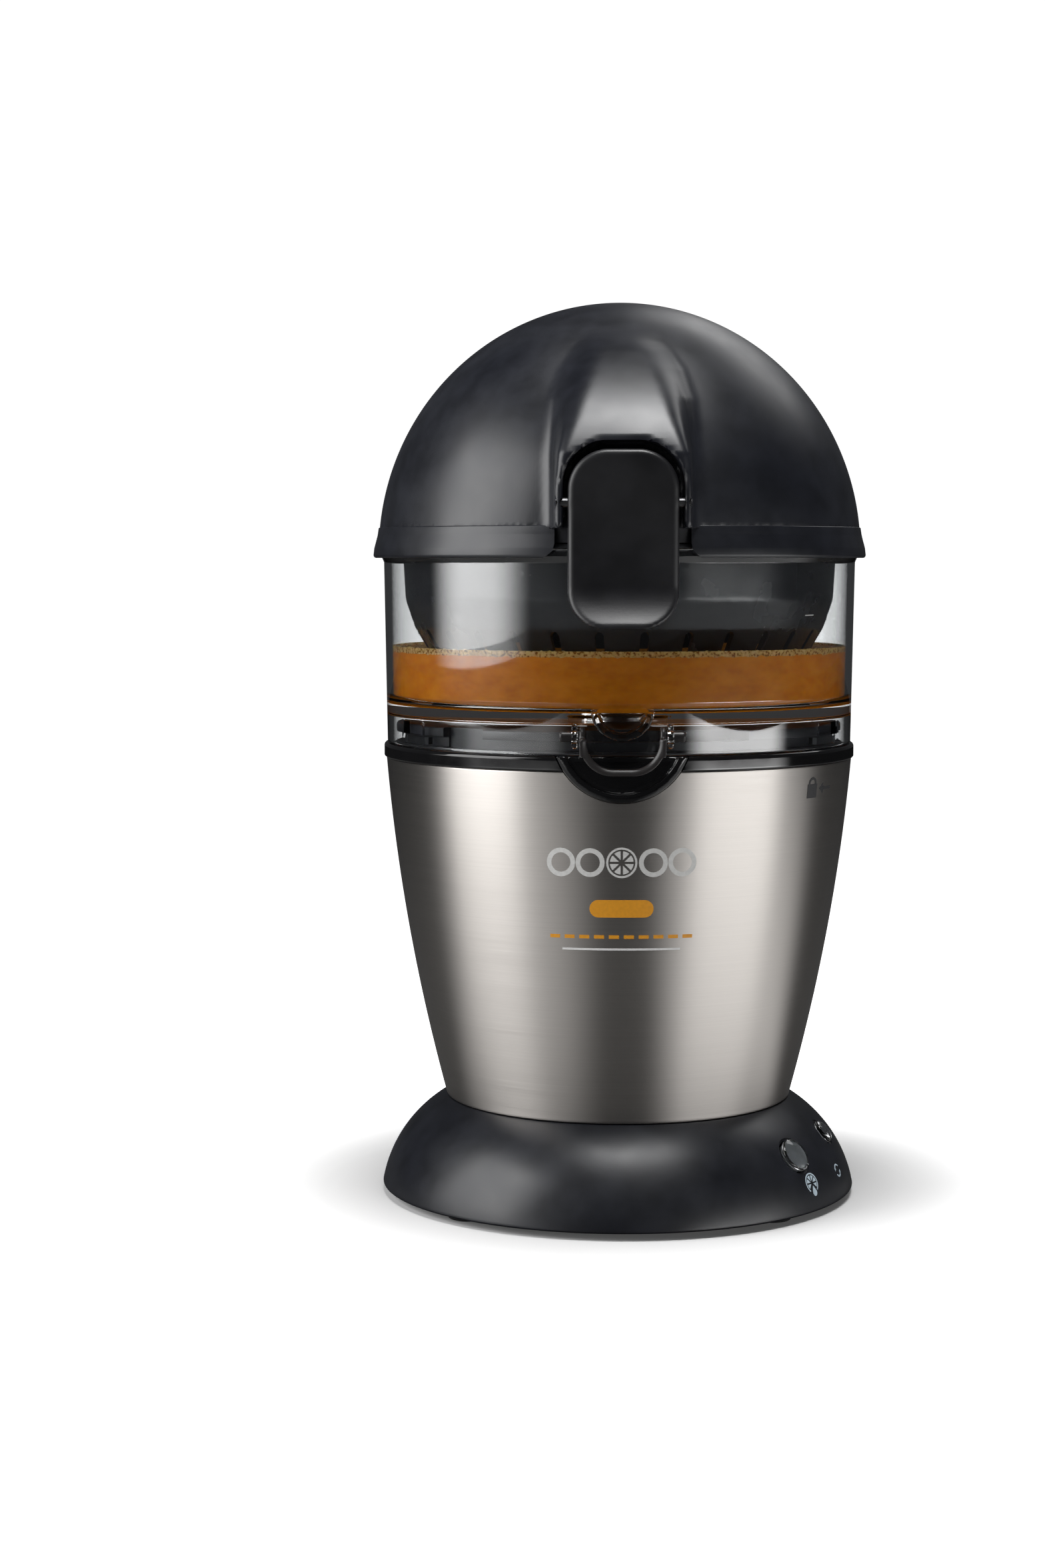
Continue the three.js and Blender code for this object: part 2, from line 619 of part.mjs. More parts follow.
const halfTube = (radius, y0, y1, top) => common(
  rodY(radius, y0, y1, 0, OUTLET.z), block([-20, 20], [-100, -60], [150, top]));

// the space that the outlet takes through the wall and the floor
const outletPassage = (margin) => join(
  halfTube(OUTLET_SHELL + margin, -89, -72 + margin, JAR_FLOOR[1]),
  halfTube(OUTLET_SHELL + margin, -95, -82.2 + margin, OUTLET.z + margin));

function jar() {
  const [floorBottom, floorTop] = JAR_FLOOR;
  const [rimBottom, rimTop] = JAR_RIM;
  const wall = turned([
    [83, JAR_SKIRT_BOTTOM], [84.1, rimBottom - 2], [JAR_RIM_RADIUS, rimBottom],
    [JAR_RIM_RADIUS, rimTop], [81.6, rimTop], [JAR_WALL_INNER, floorTop + 1.5],
    [JAR_WALL_INNER, floorBottom], [JAR_WALL_INNER, JAR_SKIRT_BOTTOM],
  ]);
  const lugs = LUG_AZIMUTHS.map((azimuth) => sector(
    azimuth - LUG_HALF_ANGLE, azimuth + LUG_HALF_ANGLE, 77.9, 81.6, [164.3, 166.7]));
  const windows = LUG_AZIMUTHS.map((azimuth) => sector(
    azimuth - LUG_HALF_ANGLE, azimuth + LUG_HALF_ANGLE, 79, 90, [167.4, 171.8]));
  const cheeks = [[-16.8, -14.8], [14.8, 16.8]].map((span) => (
    block(span, [-90.6, -80.9], [TRUNNION.z - 4, TRUNNION.z + 4])));
  const pivotHole = rodX(TRUNNION.radius + 0.4, -18, 18, TRUNNION.y, TRUNNION.z);
  const pierced = cut(join(wall, ...lugs), ...windows, outletPassage(FIT));
  return cut(join(pierced, ...cheeks), pivotHole);
}

// the floor, with the chimney that the reamer's spindle comes up through
function jarFloor() {
  const [floorBottom, floorTop] = JAR_FLOOR;
  const edge = JAR_WALL_INNER - FIT;
  const floor = turned([
    [edge, floorBottom], [edge, floorTop + 1.5], [edge - 1.3, floorTop],
    [CHIMNEY.outer, floorTop], [CHIMNEY.outer, CHIMNEY.top], [CHIMNEY.inner, CHIMNEY.top],
    [CHIMNEY.inner, floorBottom],
  ]);
  return cut(floor, outletPassage(FIT), halfTube(OUTLET.radius, -95, -73.5, OUTLET.z));
}

function jarOutlet() {
  const shell = join(
    halfTube(OUTLET_SHELL, -82.5, -72, JAR_FLOOR[1] - 0.1),
    halfTube(OUTLET_SHELL, -89, -82.2, OUTLET.z));
  return cut(shell, halfTube(OUTLET.radius, -95, -73.5, OUTLET.z));
}

function spoutChute() {
  const { halfWidth, wall, bottom, top, back, front } = CHUTE;
  const trough = cut(
    frontPrism(roundedSlab(halfWidth, bottom, top, 11, 0), -front, -back),
    frontPrism(roundedSlab(halfWidth - wall, bottom + wall, top + 5, 9.5, 0), -front - 1, 1 - back));
  const ears = [-1, 1].flatMap((side) => [
    rodX(3.4, ...[side * halfWidth, side * (halfWidth - wall)].sort((a, b) => a - b),
      TRUNNION.y, TRUNNION.z),
    rodX(TRUNNION.radius, ...[side * TRUNNION.reach, side * (halfWidth - 1)].sort((a, b) => a - b),
      TRUNNION.y, TRUNNION.z),
  ]);
  return join(trough, ...ears);
}

// ---------------------------------------------------------------- basket

function basket() {
  const [floorBottom, floorTop] = BASKET_FLOOR;
  const [flangeBottom, flangeTop] = BASKET_FLANGE;
  const bowl = turned([
    [84, flangeTop], [84, flangeBottom], [77.4, flangeBottom], [76.4, 213.5], [73.1, 203.7],
    [66, 191.5], [56, floorBottom], [14.2, floorBottom], [14.2, 191.3], [16, 191.3],
    [16, floorTop], [55, floorTop], [64, 192.8], [71.2, 204.5], [74.3, 213.5], [75.3, flangeTop],
  ], SLOT_COUNT);
  const slots = steps(0, SLOT_COUNT - 1, SLOT_COUNT).map((k) => (
    block([50, 85], [-SLOT_WIDTH / 2, SLOT_WIDTH / 2], [floorBottom - 1, SLOT_TOP])
      .rotateZ(k * 2 * Math.PI / SLOT_COUNT)));
  return cut(bowl, ...slots);
}

// ---------------------------------------------------------------- lid

const domeProfile = (a, c, t0, t1, count) => ellipse(a, c, DOME.z, t0, t1, count);

const domeOutside = (margin) => [
  [LID_RIM.topRadius + margin, LID_RIM.top],
  ...domeProfile(DOME.a + margin, DOME.c + margin, 0.068, 1, 9),
];

const domeSolid = (margin) => turned([
  [0, LID_RIM.top - 1], [LID_RIM.topRadius + margin, LID_RIM.top - 1], ...domeOutside(margin),
]);

function lidDome() {
  const { a, c, wall } = DOME;
  const inner = domeProfile(a - wall, c - wall, 0.05, 0.955, 7);
  const bossTop = inner.at(-1)[1];
  const shell = turned([
    [LID_RIM.bottomRadius, LID_RIM.bottom], ...domeOutside(0),
    [0, CUP_BOSS.bottom], [CUP_BOSS.radius, CUP_BOSS.bottom], [CUP_BOSS.radius, bossTop],
    ...inner.toReversed(),
    [78.5, 236], [78.5, LID_LEDGE], [LID_RIM.inner, LID_LEDGE], [LID_RIM.inner, LID_RIM.bottom],
  ]);
  const rimGap = cut(
    block([-RIM_GAP_HALF, RIM_GAP_HALF], [-110, -60], [220, LID_RIM.top + 0.1]),
    rod(LID_RIM.inner - 0.85, 200, 250, SEGMENTS));
  return cut(shell, rimGap, mirrored(rimGap));
}

// points on the cup's ellipse, of a radius at the straight part's top and an apex, between heights
const cupArc = (radius, apex, z0, z1, count) => {
  const rise = apex - CUP.straight;
  const t = [z0, z1].map((z) => Math.asin((z - CUP.straight) / rise));
  return steps(...t, count).map((a) => [radius * Math.cos(a), CUP.straight + rise * Math.sin(a)]);
};

// the bulge over a latch: an arch seen from the front, with a slanting brow from the side, and
// hollowed by the arched recess that the latch hangs in
function hood() {
  const { halfWidth, top, corner, front, shoulder, topReach } = HOOD;
  const arch = frontPrism(
    roundedSlab(halfWidth, LID_RIM.top, top, 0, corner), -front - 5, -30, 4);
  const brow = new THREE.Shape();
  brow.moveTo(-front, LID_RIM.top);
  brow.lineTo(-front, shoulder);
  brow.quadraticCurveTo(-front + 9, top - 20, -topReach, top);
  brow.lineTo(-30, top);
  brow.lineTo(-30, LID_RIM.top);
  const archway = frontPrism(
    roundedSlab(ARCH.halfWidth, 220, ARCH.top, 0, ARCH.corner), -110, -60, 5);
  const pinHole = rodX(LATCH_PIN.radius + GAP, -LATCH_PIN.reach - GAP, LATCH_PIN.reach + GAP,
    -LATCH_PIN.y, LATCH_PIN.z);
  return cut(common(arch, sidePrism(brow, -30, 30, 4)), domeSolid(FIT), archway, pinHole);
}

// the cup's wall, a ring that narrows upwards as part of an ellipsoid
function pressCup() {
  const { rim, radius, wall, straight, split } = CUP;
  const outer = radius + wall;
  return turned([
    [outer, rim], ...cupArc(outer, CUP.apex + wall, straight, split, 4),
    ...cupArc(radius, CUP.apex, straight, split, 4).toReversed(), [radius, rim],
  ], 24);
}

// the crown that closes the ring, with the stem that plugs into the dome's boss
function pressCupCrown() {
  const { radius, apex, wall, split, stem, stemTop } = CUP;
  const bottom = split + FIT;
  const socket = CUP_BOSS.radius + 0.35;
  const socketBottom = CUP_BOSS.bottom - GAP;
  return turned([
    ...cupArc(radius + wall, apex + wall, bottom, 283.9, 4),
    [stem, stemTop], [socket, stemTop], [socket, socketBottom], [0, socketBottom],
    ...cupArc(radius, apex, bottom, apex, 4).toReversed(),
  ], 24);
}

const latchPin = () => rodX(
  LATCH_PIN.radius, -LATCH_PIN.reach, LATCH_PIN.reach, -LATCH_PIN.y, LATCH_PIN.z);

// a rounded plate on a pivot boss, with a finger scoop curling out at its foot and a hook behind
function latch() {
  const { halfWidth, bottom, top, front, thickness, scoop } = LATCH;
  const face = frontPrism(roundedSlab(halfWidth, bottom, top, 12, 13.3), -scoop - 5, -80, 6);
  const back = front - thickness;
  const side = new THREE.Shape();
  side.moveTo(-back, top);
  side.lineTo(1 - front, top);
  side.lineTo(-front, top - 1);
  side.lineTo(-front, 219);
  side.quadraticCurveTo(-front - 0.5, 211, -scoop, bottom + 1.6);
  side.lineTo(0.6 - scoop, bottom);
  side.lineTo(3 - scoop, bottom);
  side.quadraticCurveTo(-back - 0.5, 209, -back, 218);
  const plate = common(face, sidePrism(side, -halfWidth - 1, halfWidth + 1, 5));
  const boss = rodX(3.2, -17.5, 17.5, -LATCH_PIN.y, LATCH_PIN.z, 12);
  const hook = cut(
    block([-9, 9], [-back - 0.5, -83], [221, JAR_RIM[0] - 0.4]),
    rod(JAR_RIM_RADIUS + 0.4, 200, 250, 80));
  const bore = rodX(LATCH_PIN.radius + GAP, -30, 30, -LATCH_PIN.y, LATCH_PIN.z);
  return cut(join(plate, boss, hook), bore);
}

// ---------------------------------------------------------------- assembly

const feet = Object.entries(FOOT_AZIMUTHS).map(([place, azimuth]) => {
  const piece = mesh(`foot_${place}`, foot(), RUBBER);
  piece.position.set(...atAzimuth(azimuth, FOOT_CIRCLE), 0);
  return piece;
});

const baseScrews = SCREW_AZIMUTHS.map((azimuth, k) => {
  const piece = mesh(`base_screw_${k + 1}`, baseScrew(), BRIGHT_STEEL);
  piece.position.set(...atAzimuth(azimuth, SCREW_CIRCLE), 0);
  return piece;
});

const placedAt = (piece, [x, y]) => {
  piece.position.set(x, y, 0);
  return piece;
};

const housing = body(
  mesh('base_shell', baseShell(), SATIN_BLACK),
  mesh('bottom_plate', bottomPlate(), SATIN_BLACK),
  ...feet,
  ...baseScrews,
  mesh('cord_inlet', cordInlet(), RUBBER),
  mesh('control_board', controlBoard(), BOARD_GREEN),
  mesh('start_switch', buttonSwitch(BUTTONS.start), SATIN_BLACK),
  mesh('return_switch', buttonSwitch(BUTTONS.return), SATIN_BLACK),
  mesh('steel_shell', steelShell(), BRUSHED_STEEL),
  mesh('top_ring', topRing(), GLOSS_BLACK),
  mesh('spout_bezel', spoutBezel(), SATIN_BLACK),
  mesh('deck', deck(), SATIN_BLACK),
  mesh('screw_guide', screwGuide(), SATIN_BLACK),
  mesh('deck_seal', deckSeal(), RUBBER),
  mesh('spindle_nut', spindleNut(), BRASS),
  mesh('gearbox_base', gearboxBase(), NATURAL_PLASTIC),
  mesh('gearbox_cover', gearboxCover(), NATURAL_PLASTIC),
  placedAt(mesh('idler_axle', rod(2, 111.3, 136.2, 12), BRIGHT_STEEL), IDLER_CENTRE),
  placedAt(mesh('motor_can', motorCan(), BRIGHT_STEEL), MOTOR_CENTRE),
  placedAt(mesh('motor_end_cap', motorEndCap(), SATIN_BLACK), MOTOR_CENTRE),
);

const motorShaft = placedAt(body(
  mesh('motor_rotor', motorRotor(), COPPER),
  mesh('motor_pinion', motorPinion(), BRASS),
), MOTOR_CENTRE);

const idler = placedAt(body(mesh('idler_gear', idlerGear(), NATURAL_PLASTIC)), IDLER_CENTRE);

const spindle = body(mesh('lead_screw', leadScrew(), BRIGHT_STEEL));

const reamer = body(mesh('reamer_cone', reamerCone(), SMOKE));

const jarGroup = body(
  mesh('jar', jar(), CLEAR),
  mesh('jar_floor', jarFloor(), CLEAR),
  mesh('jar_outlet', jarOutlet(), CLEAR),
);

const spout = body(mesh('spout_chute', spoutChute(), SATIN_BLACK));

const strainer = body(mesh('strainer_basket', basket(), SMOKE));

const lid = body(
  mesh('lid_dome', lidDome(), SATIN_BLACK),
  mesh('lid_hood_front', hood(), SATIN_BLACK),
  mesh('lid_hood_rear', mirrored(hood()), SATIN_BLACK),
  mesh('press_cup', pressCup(), SMOKE),
  mesh('press_cup_crown', pressCupCrown(), SMOKE),
  mesh('latch_pin_front', latchPin(), BRIGHT_STEEL),
  mesh('latch_pin_rear', mirrored(latchPin()), BRIGHT_STEEL),
);

const latches = body(
  mesh('latch_front', latch(), SATIN_BLACK),
  mesh('latch_rear', mirrored(latch()), SATIN_BLACK),
);

const buttons = body(
  mesh('start_button', buttonCap(BUTTONS.start), GREY_PLASTIC),
  mesh('return_button', buttonCap(BUTTONS.return), GREY_PLASTIC),
);

const juicer = body(
  housing, motorShaft, idler, body(mesh('main_gear', mainGear(), NATURAL_PLASTIC)), spindle, reamer,
  jarGroup, spout, strainer, lid, latches, buttons,
);

export default juicer;
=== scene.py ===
"""A motorised citrus press: satin black dome and base, brushed steel body, clear jar with juice."""

import math
import random

import bmesh
import bpy
import numpy as np
from mathutils import Matrix, Vector


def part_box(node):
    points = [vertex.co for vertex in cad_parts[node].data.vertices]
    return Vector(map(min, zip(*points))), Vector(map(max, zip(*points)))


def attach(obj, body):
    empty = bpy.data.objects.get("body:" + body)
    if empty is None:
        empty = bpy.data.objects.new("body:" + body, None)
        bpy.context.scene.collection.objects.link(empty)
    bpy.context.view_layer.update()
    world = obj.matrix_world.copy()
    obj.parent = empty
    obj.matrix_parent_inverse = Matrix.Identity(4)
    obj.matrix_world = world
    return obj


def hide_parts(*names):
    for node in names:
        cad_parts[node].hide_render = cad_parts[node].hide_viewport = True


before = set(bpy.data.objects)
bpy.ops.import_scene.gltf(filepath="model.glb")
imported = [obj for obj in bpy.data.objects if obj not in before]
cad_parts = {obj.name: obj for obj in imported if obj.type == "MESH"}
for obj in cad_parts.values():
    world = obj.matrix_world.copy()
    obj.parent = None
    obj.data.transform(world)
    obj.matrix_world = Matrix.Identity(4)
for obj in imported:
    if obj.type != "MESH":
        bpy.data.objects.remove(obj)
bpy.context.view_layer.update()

MM = 0.001          # lengths below are in millimetres, and become metres when a mesh is made
TAU = 2 * math.pi


def node_mm(node):
    """The lowest and highest corner of a CAD node, in millimetres."""
    low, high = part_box(node)
    return [v / MM for v in low], [v / MM for v in high]


# ---------------------------------------------------------------- camera, light, floor

CAMERA_DISTANCE = 1.0
CAMERA_HEIGHT = 0.2281
CAMERA_AZIMUTH = -0.9       # degrees: the front is turned a little to the viewer's right
CAMERA_PAN = 1.98           # degrees to the left of the object's axis
CAMERA_TILT = 4.65          # degrees down
CAMERA_LENS = 63.8

# Brightness of the backdrop where it is mirrored and where it is seen, each with its colour
MIRRORED_WORLD = ((0.86, 0.88, 0.92), 0.04)
SEEN_WORLD = ((1, 1, 1), 1.05)
FLOOR_HALF = 3.0
SHADOW_FADE = (0.08, 0.2)       # metres from the axis over which the floor turns white
CARDS = [(-56, 39, 0.43), (62, 39, 0.85)]      # azimuth, half-width in degrees, brightness
CARD_EDGE = 12                  # degrees by which a card fades to each side of its edge
CARDS_START = (0.09, 0.16)      # metres from the axis over which the cards fade in, and out
CARDS_END = (0.8, 1.3)
BETWEEN_CARDS = 0.02            # what the floor adds to the mirrored light everywhere


def make_camera():
    data = bpy.data.cameras.new("camera")
    data.lens = CAMERA_LENS
    camera = bpy.data.objects.new("camera", data)
    bpy.context.collection.objects.link(camera)
    turn = math.radians(CAMERA_AZIMUTH)
    camera.location = (
        math.sin(turn) * CAMERA_DISTANCE, -math.cos(turn) * CAMERA_DISTANCE, CAMERA_HEIGHT)
    camera.rotation_euler = (
        math.radians(90 - CAMERA_TILT), 0, math.radians(CAMERA_PAN) + turn)
    bpy.context.scene.camera = camera


def value_node(tree, operation, *inputs):
    """A math node whose inputs are numbers or sockets."""
    node = tree.nodes.new("ShaderNodeMath")
    node.operation = operation
    for socket, value in zip(node.inputs, inputs):
        if isinstance(value, (int, float)):
            socket.default_value = value
        else:
            tree.links.new(value, socket)
    return node.outputs[0]


def ease(tree, source, start, end, low, high):
    """A smooth step from low, where the source is at start, to high, where it is at end."""
    node = tree.nodes.new("ShaderNodeMapRange")
    node.interpolation_type = "SMOOTHSTEP"
    for key, value in (("From Min", start), ("From Max", end), ("To Min", low), ("To Max", high)):
        node.inputs[key].default_value = value
    tree.links.new(source, node.inputs["Value"])
    return node.outputs[0]


def separate(tree, source):
    """The X, Y and Z sockets of a vector."""
    node = tree.nodes.new("ShaderNodeSeparateXYZ")
    tree.links.new(source, node.inputs[0])
    return node.outputs


def blend(tree, data_type, factor, first, second):
    """The first source where the factor is nought, the second where it is one."""
    node = tree.nodes.new("ShaderNodeMix")
    node.data_type = data_type
    for key, source in (("Factor", factor), ("A", first), ("B", second)):
        tree.links.new(source, node.inputs[key])
    return node.outputs["Result"]


def softbox(name, azimuth, elevation, distance, size, power, target, soft=0):
    """An area light that faces the object. Azimuth 0 is the front, growing towards +X.

    Soft is the share of its width over which it fades at each side.
    """
    data = bpy.data.lights.new(name, "AREA")
    data.shape = "RECTANGLE"
    data.size, data.size_y = size
    data.energy = power
    light = bpy.data.objects.new(name, data)
    bpy.context.collection.objects.link(light)
    around, up = math.radians(azimuth), math.radians(elevation)
    out = Vector((math.sin(around) * math.cos(up), -math.cos(around) * math.cos(up), math.sin(up)))
    light.location = Vector(target) + out * distance
    light.rotation_euler = out.to_track_quat("Z", "Y").to_euler()
    if soft:
        data.use_nodes = True
        tree = data.node_tree
        across = separate(tree, tree.nodes.new("ShaderNodeNewGeometry").outputs["Parametric"])
        inwards = value_node(tree, "PINGPONG", across["X"], 0.5)
        edge = ease(tree, inwards, 0, soft, 0, 1 / (1 - soft))
        tree.links.new(edge, tree.nodes["Emission"].inputs["Strength"])


def seen_directly(tree):
    """One where the camera looks straight or through clear plastic, else nought."""
    path = tree.nodes.new("ShaderNodeLightPath").outputs
    either = value_node(tree, "MAXIMUM", path["Is Camera Ray"], path["Is Transmission Ray"])
    turns = value_node(tree, "ADD", path["Diffuse Depth"], path["Glossy Depth"])
    straight = value_node(tree, "LESS_THAN", turns, 0.5)
    return value_node(tree, "MULTIPLY", either, straight)


def make_world():
    """White where it is seen directly or through the jar, dim where it is mirrored."""
    world = bpy.data.worlds.new("studio")
    world.use_nodes = True
    bpy.context.scene.world = world
    tree = world.node_tree
    tree.nodes.clear()
    mix = tree.nodes.new("ShaderNodeMixShader")
    tree.links.new(seen_directly(tree), mix.inputs[0])
    for socket, (color, strength) in zip(mix.inputs[1:], (MIRRORED_WORLD, SEEN_WORLD)):
        background = tree.nodes.new("ShaderNodeBackground")
        background.inputs["Color"].default_value = (*color, 1)
        background.inputs["Strength"].default_value = strength
        tree.links.new(background.outputs[0], socket)
    out = tree.nodes.new("ShaderNodeOutputWorld")
    tree.links.new(mix.outputs[0], out.inputs[0])


def make_floor():
    """A white sweep that the object shades. What it mirrors into the steel is two pale cards."""
    mesh = bpy.data.meshes.new("floor")
    mesh.from_pydata([(x * FLOOR_HALF, y * FLOOR_HALF, 0)
                      for x, y in ((-1, -1), (1, -1), (1, 1), (-1, 1))], [], [(0, 1, 2, 3)])
    floor = bpy.data.objects.new("floor", mesh)
    bpy.context.collection.objects.link(floor)
    material = bpy.data.materials.new("floor")
    material.use_nodes = True
    tree = material.node_tree
    inputs = tree.nodes["Principled BSDF"].inputs
    inputs["Roughness"].default_value = 0.7
    inputs["Specular IOR Level"].default_value = 0.0
    inputs["Emission Color"].default_value = (1, 1, 1, 1)
    place = tree.nodes.new("ShaderNodeTexCoord").outputs["Object"]
    length = tree.nodes.new("ShaderNodeVectorMath")
    length.operation = "LENGTH"
    tree.links.new(place, length.inputs[0])
    reach = length.outputs["Value"]
    apart = separate(tree, place)
    front = value_node(tree, "MULTIPLY", apart["Y"], -1.0)
    azimuth = value_node(tree, "ARCTAN2", apart["X"], front)
    cards = BETWEEN_CARDS
    for middle, spread, level in CARDS:
        off = value_node(tree, "SUBTRACT", azimuth, math.radians(middle))
        start, end = (math.radians(spread + side * CARD_EDGE) for side in (-1, 1))
        card = ease(tree, value_node(tree, "ABSOLUTE", off), start, end, level, 0)
        cards = value_node(tree, "ADD", cards, card)
    for span, levels in ((CARDS_START, (0, 1)), (CARDS_END, (1, 0))):
        cards = value_node(tree, "MULTIPLY", cards, ease(tree, reach, *span, *levels))
    glow = ease(tree, reach, *SHADOW_FADE, 0.05, 1.05)
    seen = seen_directly(tree)
    tree.links.new(blend(tree, "FLOAT", seen, cards, glow), inputs["Emission Strength"])
    tree.links.new(ease(tree, seen, 0, 1, 0.06, 0.8), inputs["Base Color"])
    mesh.materials.append(material)


# ---------------------------------------------------------------- mesh helpers

SMOOTH_ANGLE = 35       # degrees: an edge sharper than this stays sharp


def new_piece(name, vertices, faces, material, smooth_angle=SMOOTH_ANGLE):
    """A mesh from points in millimetres, shaded smooth but for edges sharper than smooth_angle."""
    mesh = bpy.data.meshes.new(name)
    mesh.from_pydata([tuple(c * MM for c in v) for v in vertices], [], [tuple(f) for f in faces])
    piece = bpy.data.objects.new(name, mesh)
    bpy.context.collection.objects.link(piece)
    mesh.materials.append(material)
    mend(mesh, smooth_angle)
    return piece


def mend(mesh, smooth_angle):
    """Welds doubles, turns the faces outwards and sets which edges stay sharp."""
    work = bmesh.new()
    work.from_mesh(mesh)
    bmesh.ops.remove_doubles(work, verts=work.verts, dist=1e-6)
    bmesh.ops.dissolve_degenerate(work, dist=1e-7, edges=work.edges)
    bmesh.ops.recalc_face_normals(work, faces=work.faces)
    for face in work.faces:
        face.smooth = True
    work.to_mesh(mesh)
    work.free()
    mesh.set_sharp_from_angle(angle=math.radians(smooth_angle))


def boolean(piece, tool, operation="DIFFERENCE"):
    """Cuts a piece with a tool, or joins them, and deletes the tool."""
    modifier = piece.modifiers.new("boolean", "BOOLEAN")
    modifier.operation = operation
    modifier.solver = "EXACT"
    modifier.object = tool
    graph = bpy.context.evaluated_depsgraph_get()
    mesh = bpy.data.meshes.new_from_object(piece.evaluated_get(graph))
    piece.modifiers.clear()
    piece.data = mesh
    mend(mesh, SMOOTH_ANGLE)
    bpy.data.objects.remove(tool)
    return piece


def fillet(corners, arc_steps):
    """A closed outline through (x, y, radius) corners, each with a radius rounded by an arc."""
    points = []
    count = len(corners)
    for i, (x, y, *rest) in enumerate(corners):
        radius = rest[0] if rest else 0
        if radius == 0:
            points.append((x, y))
            continue
        here = Vector((x, y))
        before = Vector(corners[i - 1][:2]) - here
        after = Vector(corners[(i + 1) % count][:2]) - here
        half = before.angle(after) / 2
        reach = min(radius / math.tan(half), 0.49 * before.length, 0.49 * after.length)
        start, end = here + before.normalized() * reach, here + after.normalized() * reach
        middle = here + (before.normalized() + after.normalized()).normalized() * (
            reach / math.cos(half))
        radial = start - middle
        sweep = radial.angle_signed(end - middle)
        for k in range(arc_steps + 1):
            turned = radial.copy()
            turned.rotate(Matrix.Rotation(-sweep * k / arc_steps, 2))
            points.append(tuple(middle + turned))
    return points


def guarded(outline):
    """The outline with a point close to both ends of its long lines, so that they shade flat."""
    reach = 0.4
    points = []
    for here, there in zip(outline, [*outline[1:], outline[0]]):
        points.append(here)
        length = math.dist(here, there)
        if length > 6 * reach and max(here[0], there[0]) > 0:
            for along in (reach / length, 1 - reach / length):
                points.append(tuple(a + (b - a) * along for a, b in zip(here, there)))
    return points


def revolve(name, outline, material, segments):
    """A closed outline of (radius, height) points turned around the Z axis."""
    outline = guarded(outline)
    rows = len(outline)
    vertices = [
        (r * math.cos(k * TAU / segments), r * math.sin(k * TAU / segments), z)
        for k in range(segments) for r, z in outline]
    faces = []
    for k in range(segments):
        here, there = k * rows, (k + 1) % segments * rows
        for j in range(rows):
            nxt = (j + 1) % rows
            faces.append((here + j, there + j, there + nxt, here + nxt))
    return new_piece(name, vertices, faces, material)


def turned(name, corners, material, segments, arc_steps=4):
    """A lathed piece whose outline is given by its corners, as for fillet."""
    return revolve(name, fillet(corners, arc_steps), material, segments)


def bore_tool(radius, y0, y1, z, segments):
    """A cylinder from y0 to y1 at a height, as a boolean tool."""
    tool = revolve("tool", [(0, y0), (radius, y0), (radius, y1), (0, y1)], BLACK, segments)
    tool.data.transform(Matrix.Rotation(-math.pi / 2, 4, "X"))
    tool.data.transform(Matrix.Translation((0, 0, z * MM)))
    return tool


def prism_faces(count, first=0):
    """Faces of a prism between two rings of count vertices, the second right after the first."""
    near, far = range(first, first + count), range(first + count, first + 2 * count)
    sides = [(near[j], near[(j + 1) % count], far[(j + 1) % count], far[j]) for j in range(count)]
    return [tuple(reversed(near)), tuple(far), *sides]


def wrapped(azimuth, turn, radius, z):
    """The point at a radius and height that is some radians round from an azimuth in degrees."""
    a = math.radians(azimuth - 90) + turn
    return radius * math.cos(a), radius * math.sin(a), z


SETTLING_STEPS = 4


def smooth_min(a, b, k):
    """The lesser of two distances, with a rounded join of size k where they meet."""
    bridge = np.maximum(k - np.abs(a - b), 0) / k
    return np.minimum(a, b) - bridge * bridge * k / 4


def smooth_max(a, b, k):
    return -smooth_min(-a, -b, k)


def field_gradient(field, points):
    reach = 0.02
    gradient = np.empty_like(points)
    for axis in range(3):
        shift = np.zeros(3)
        shift[axis] = reach
        gradient[:, axis] = (field(points + shift) - field(points - shift)) / (2 * reach)
    return gradient


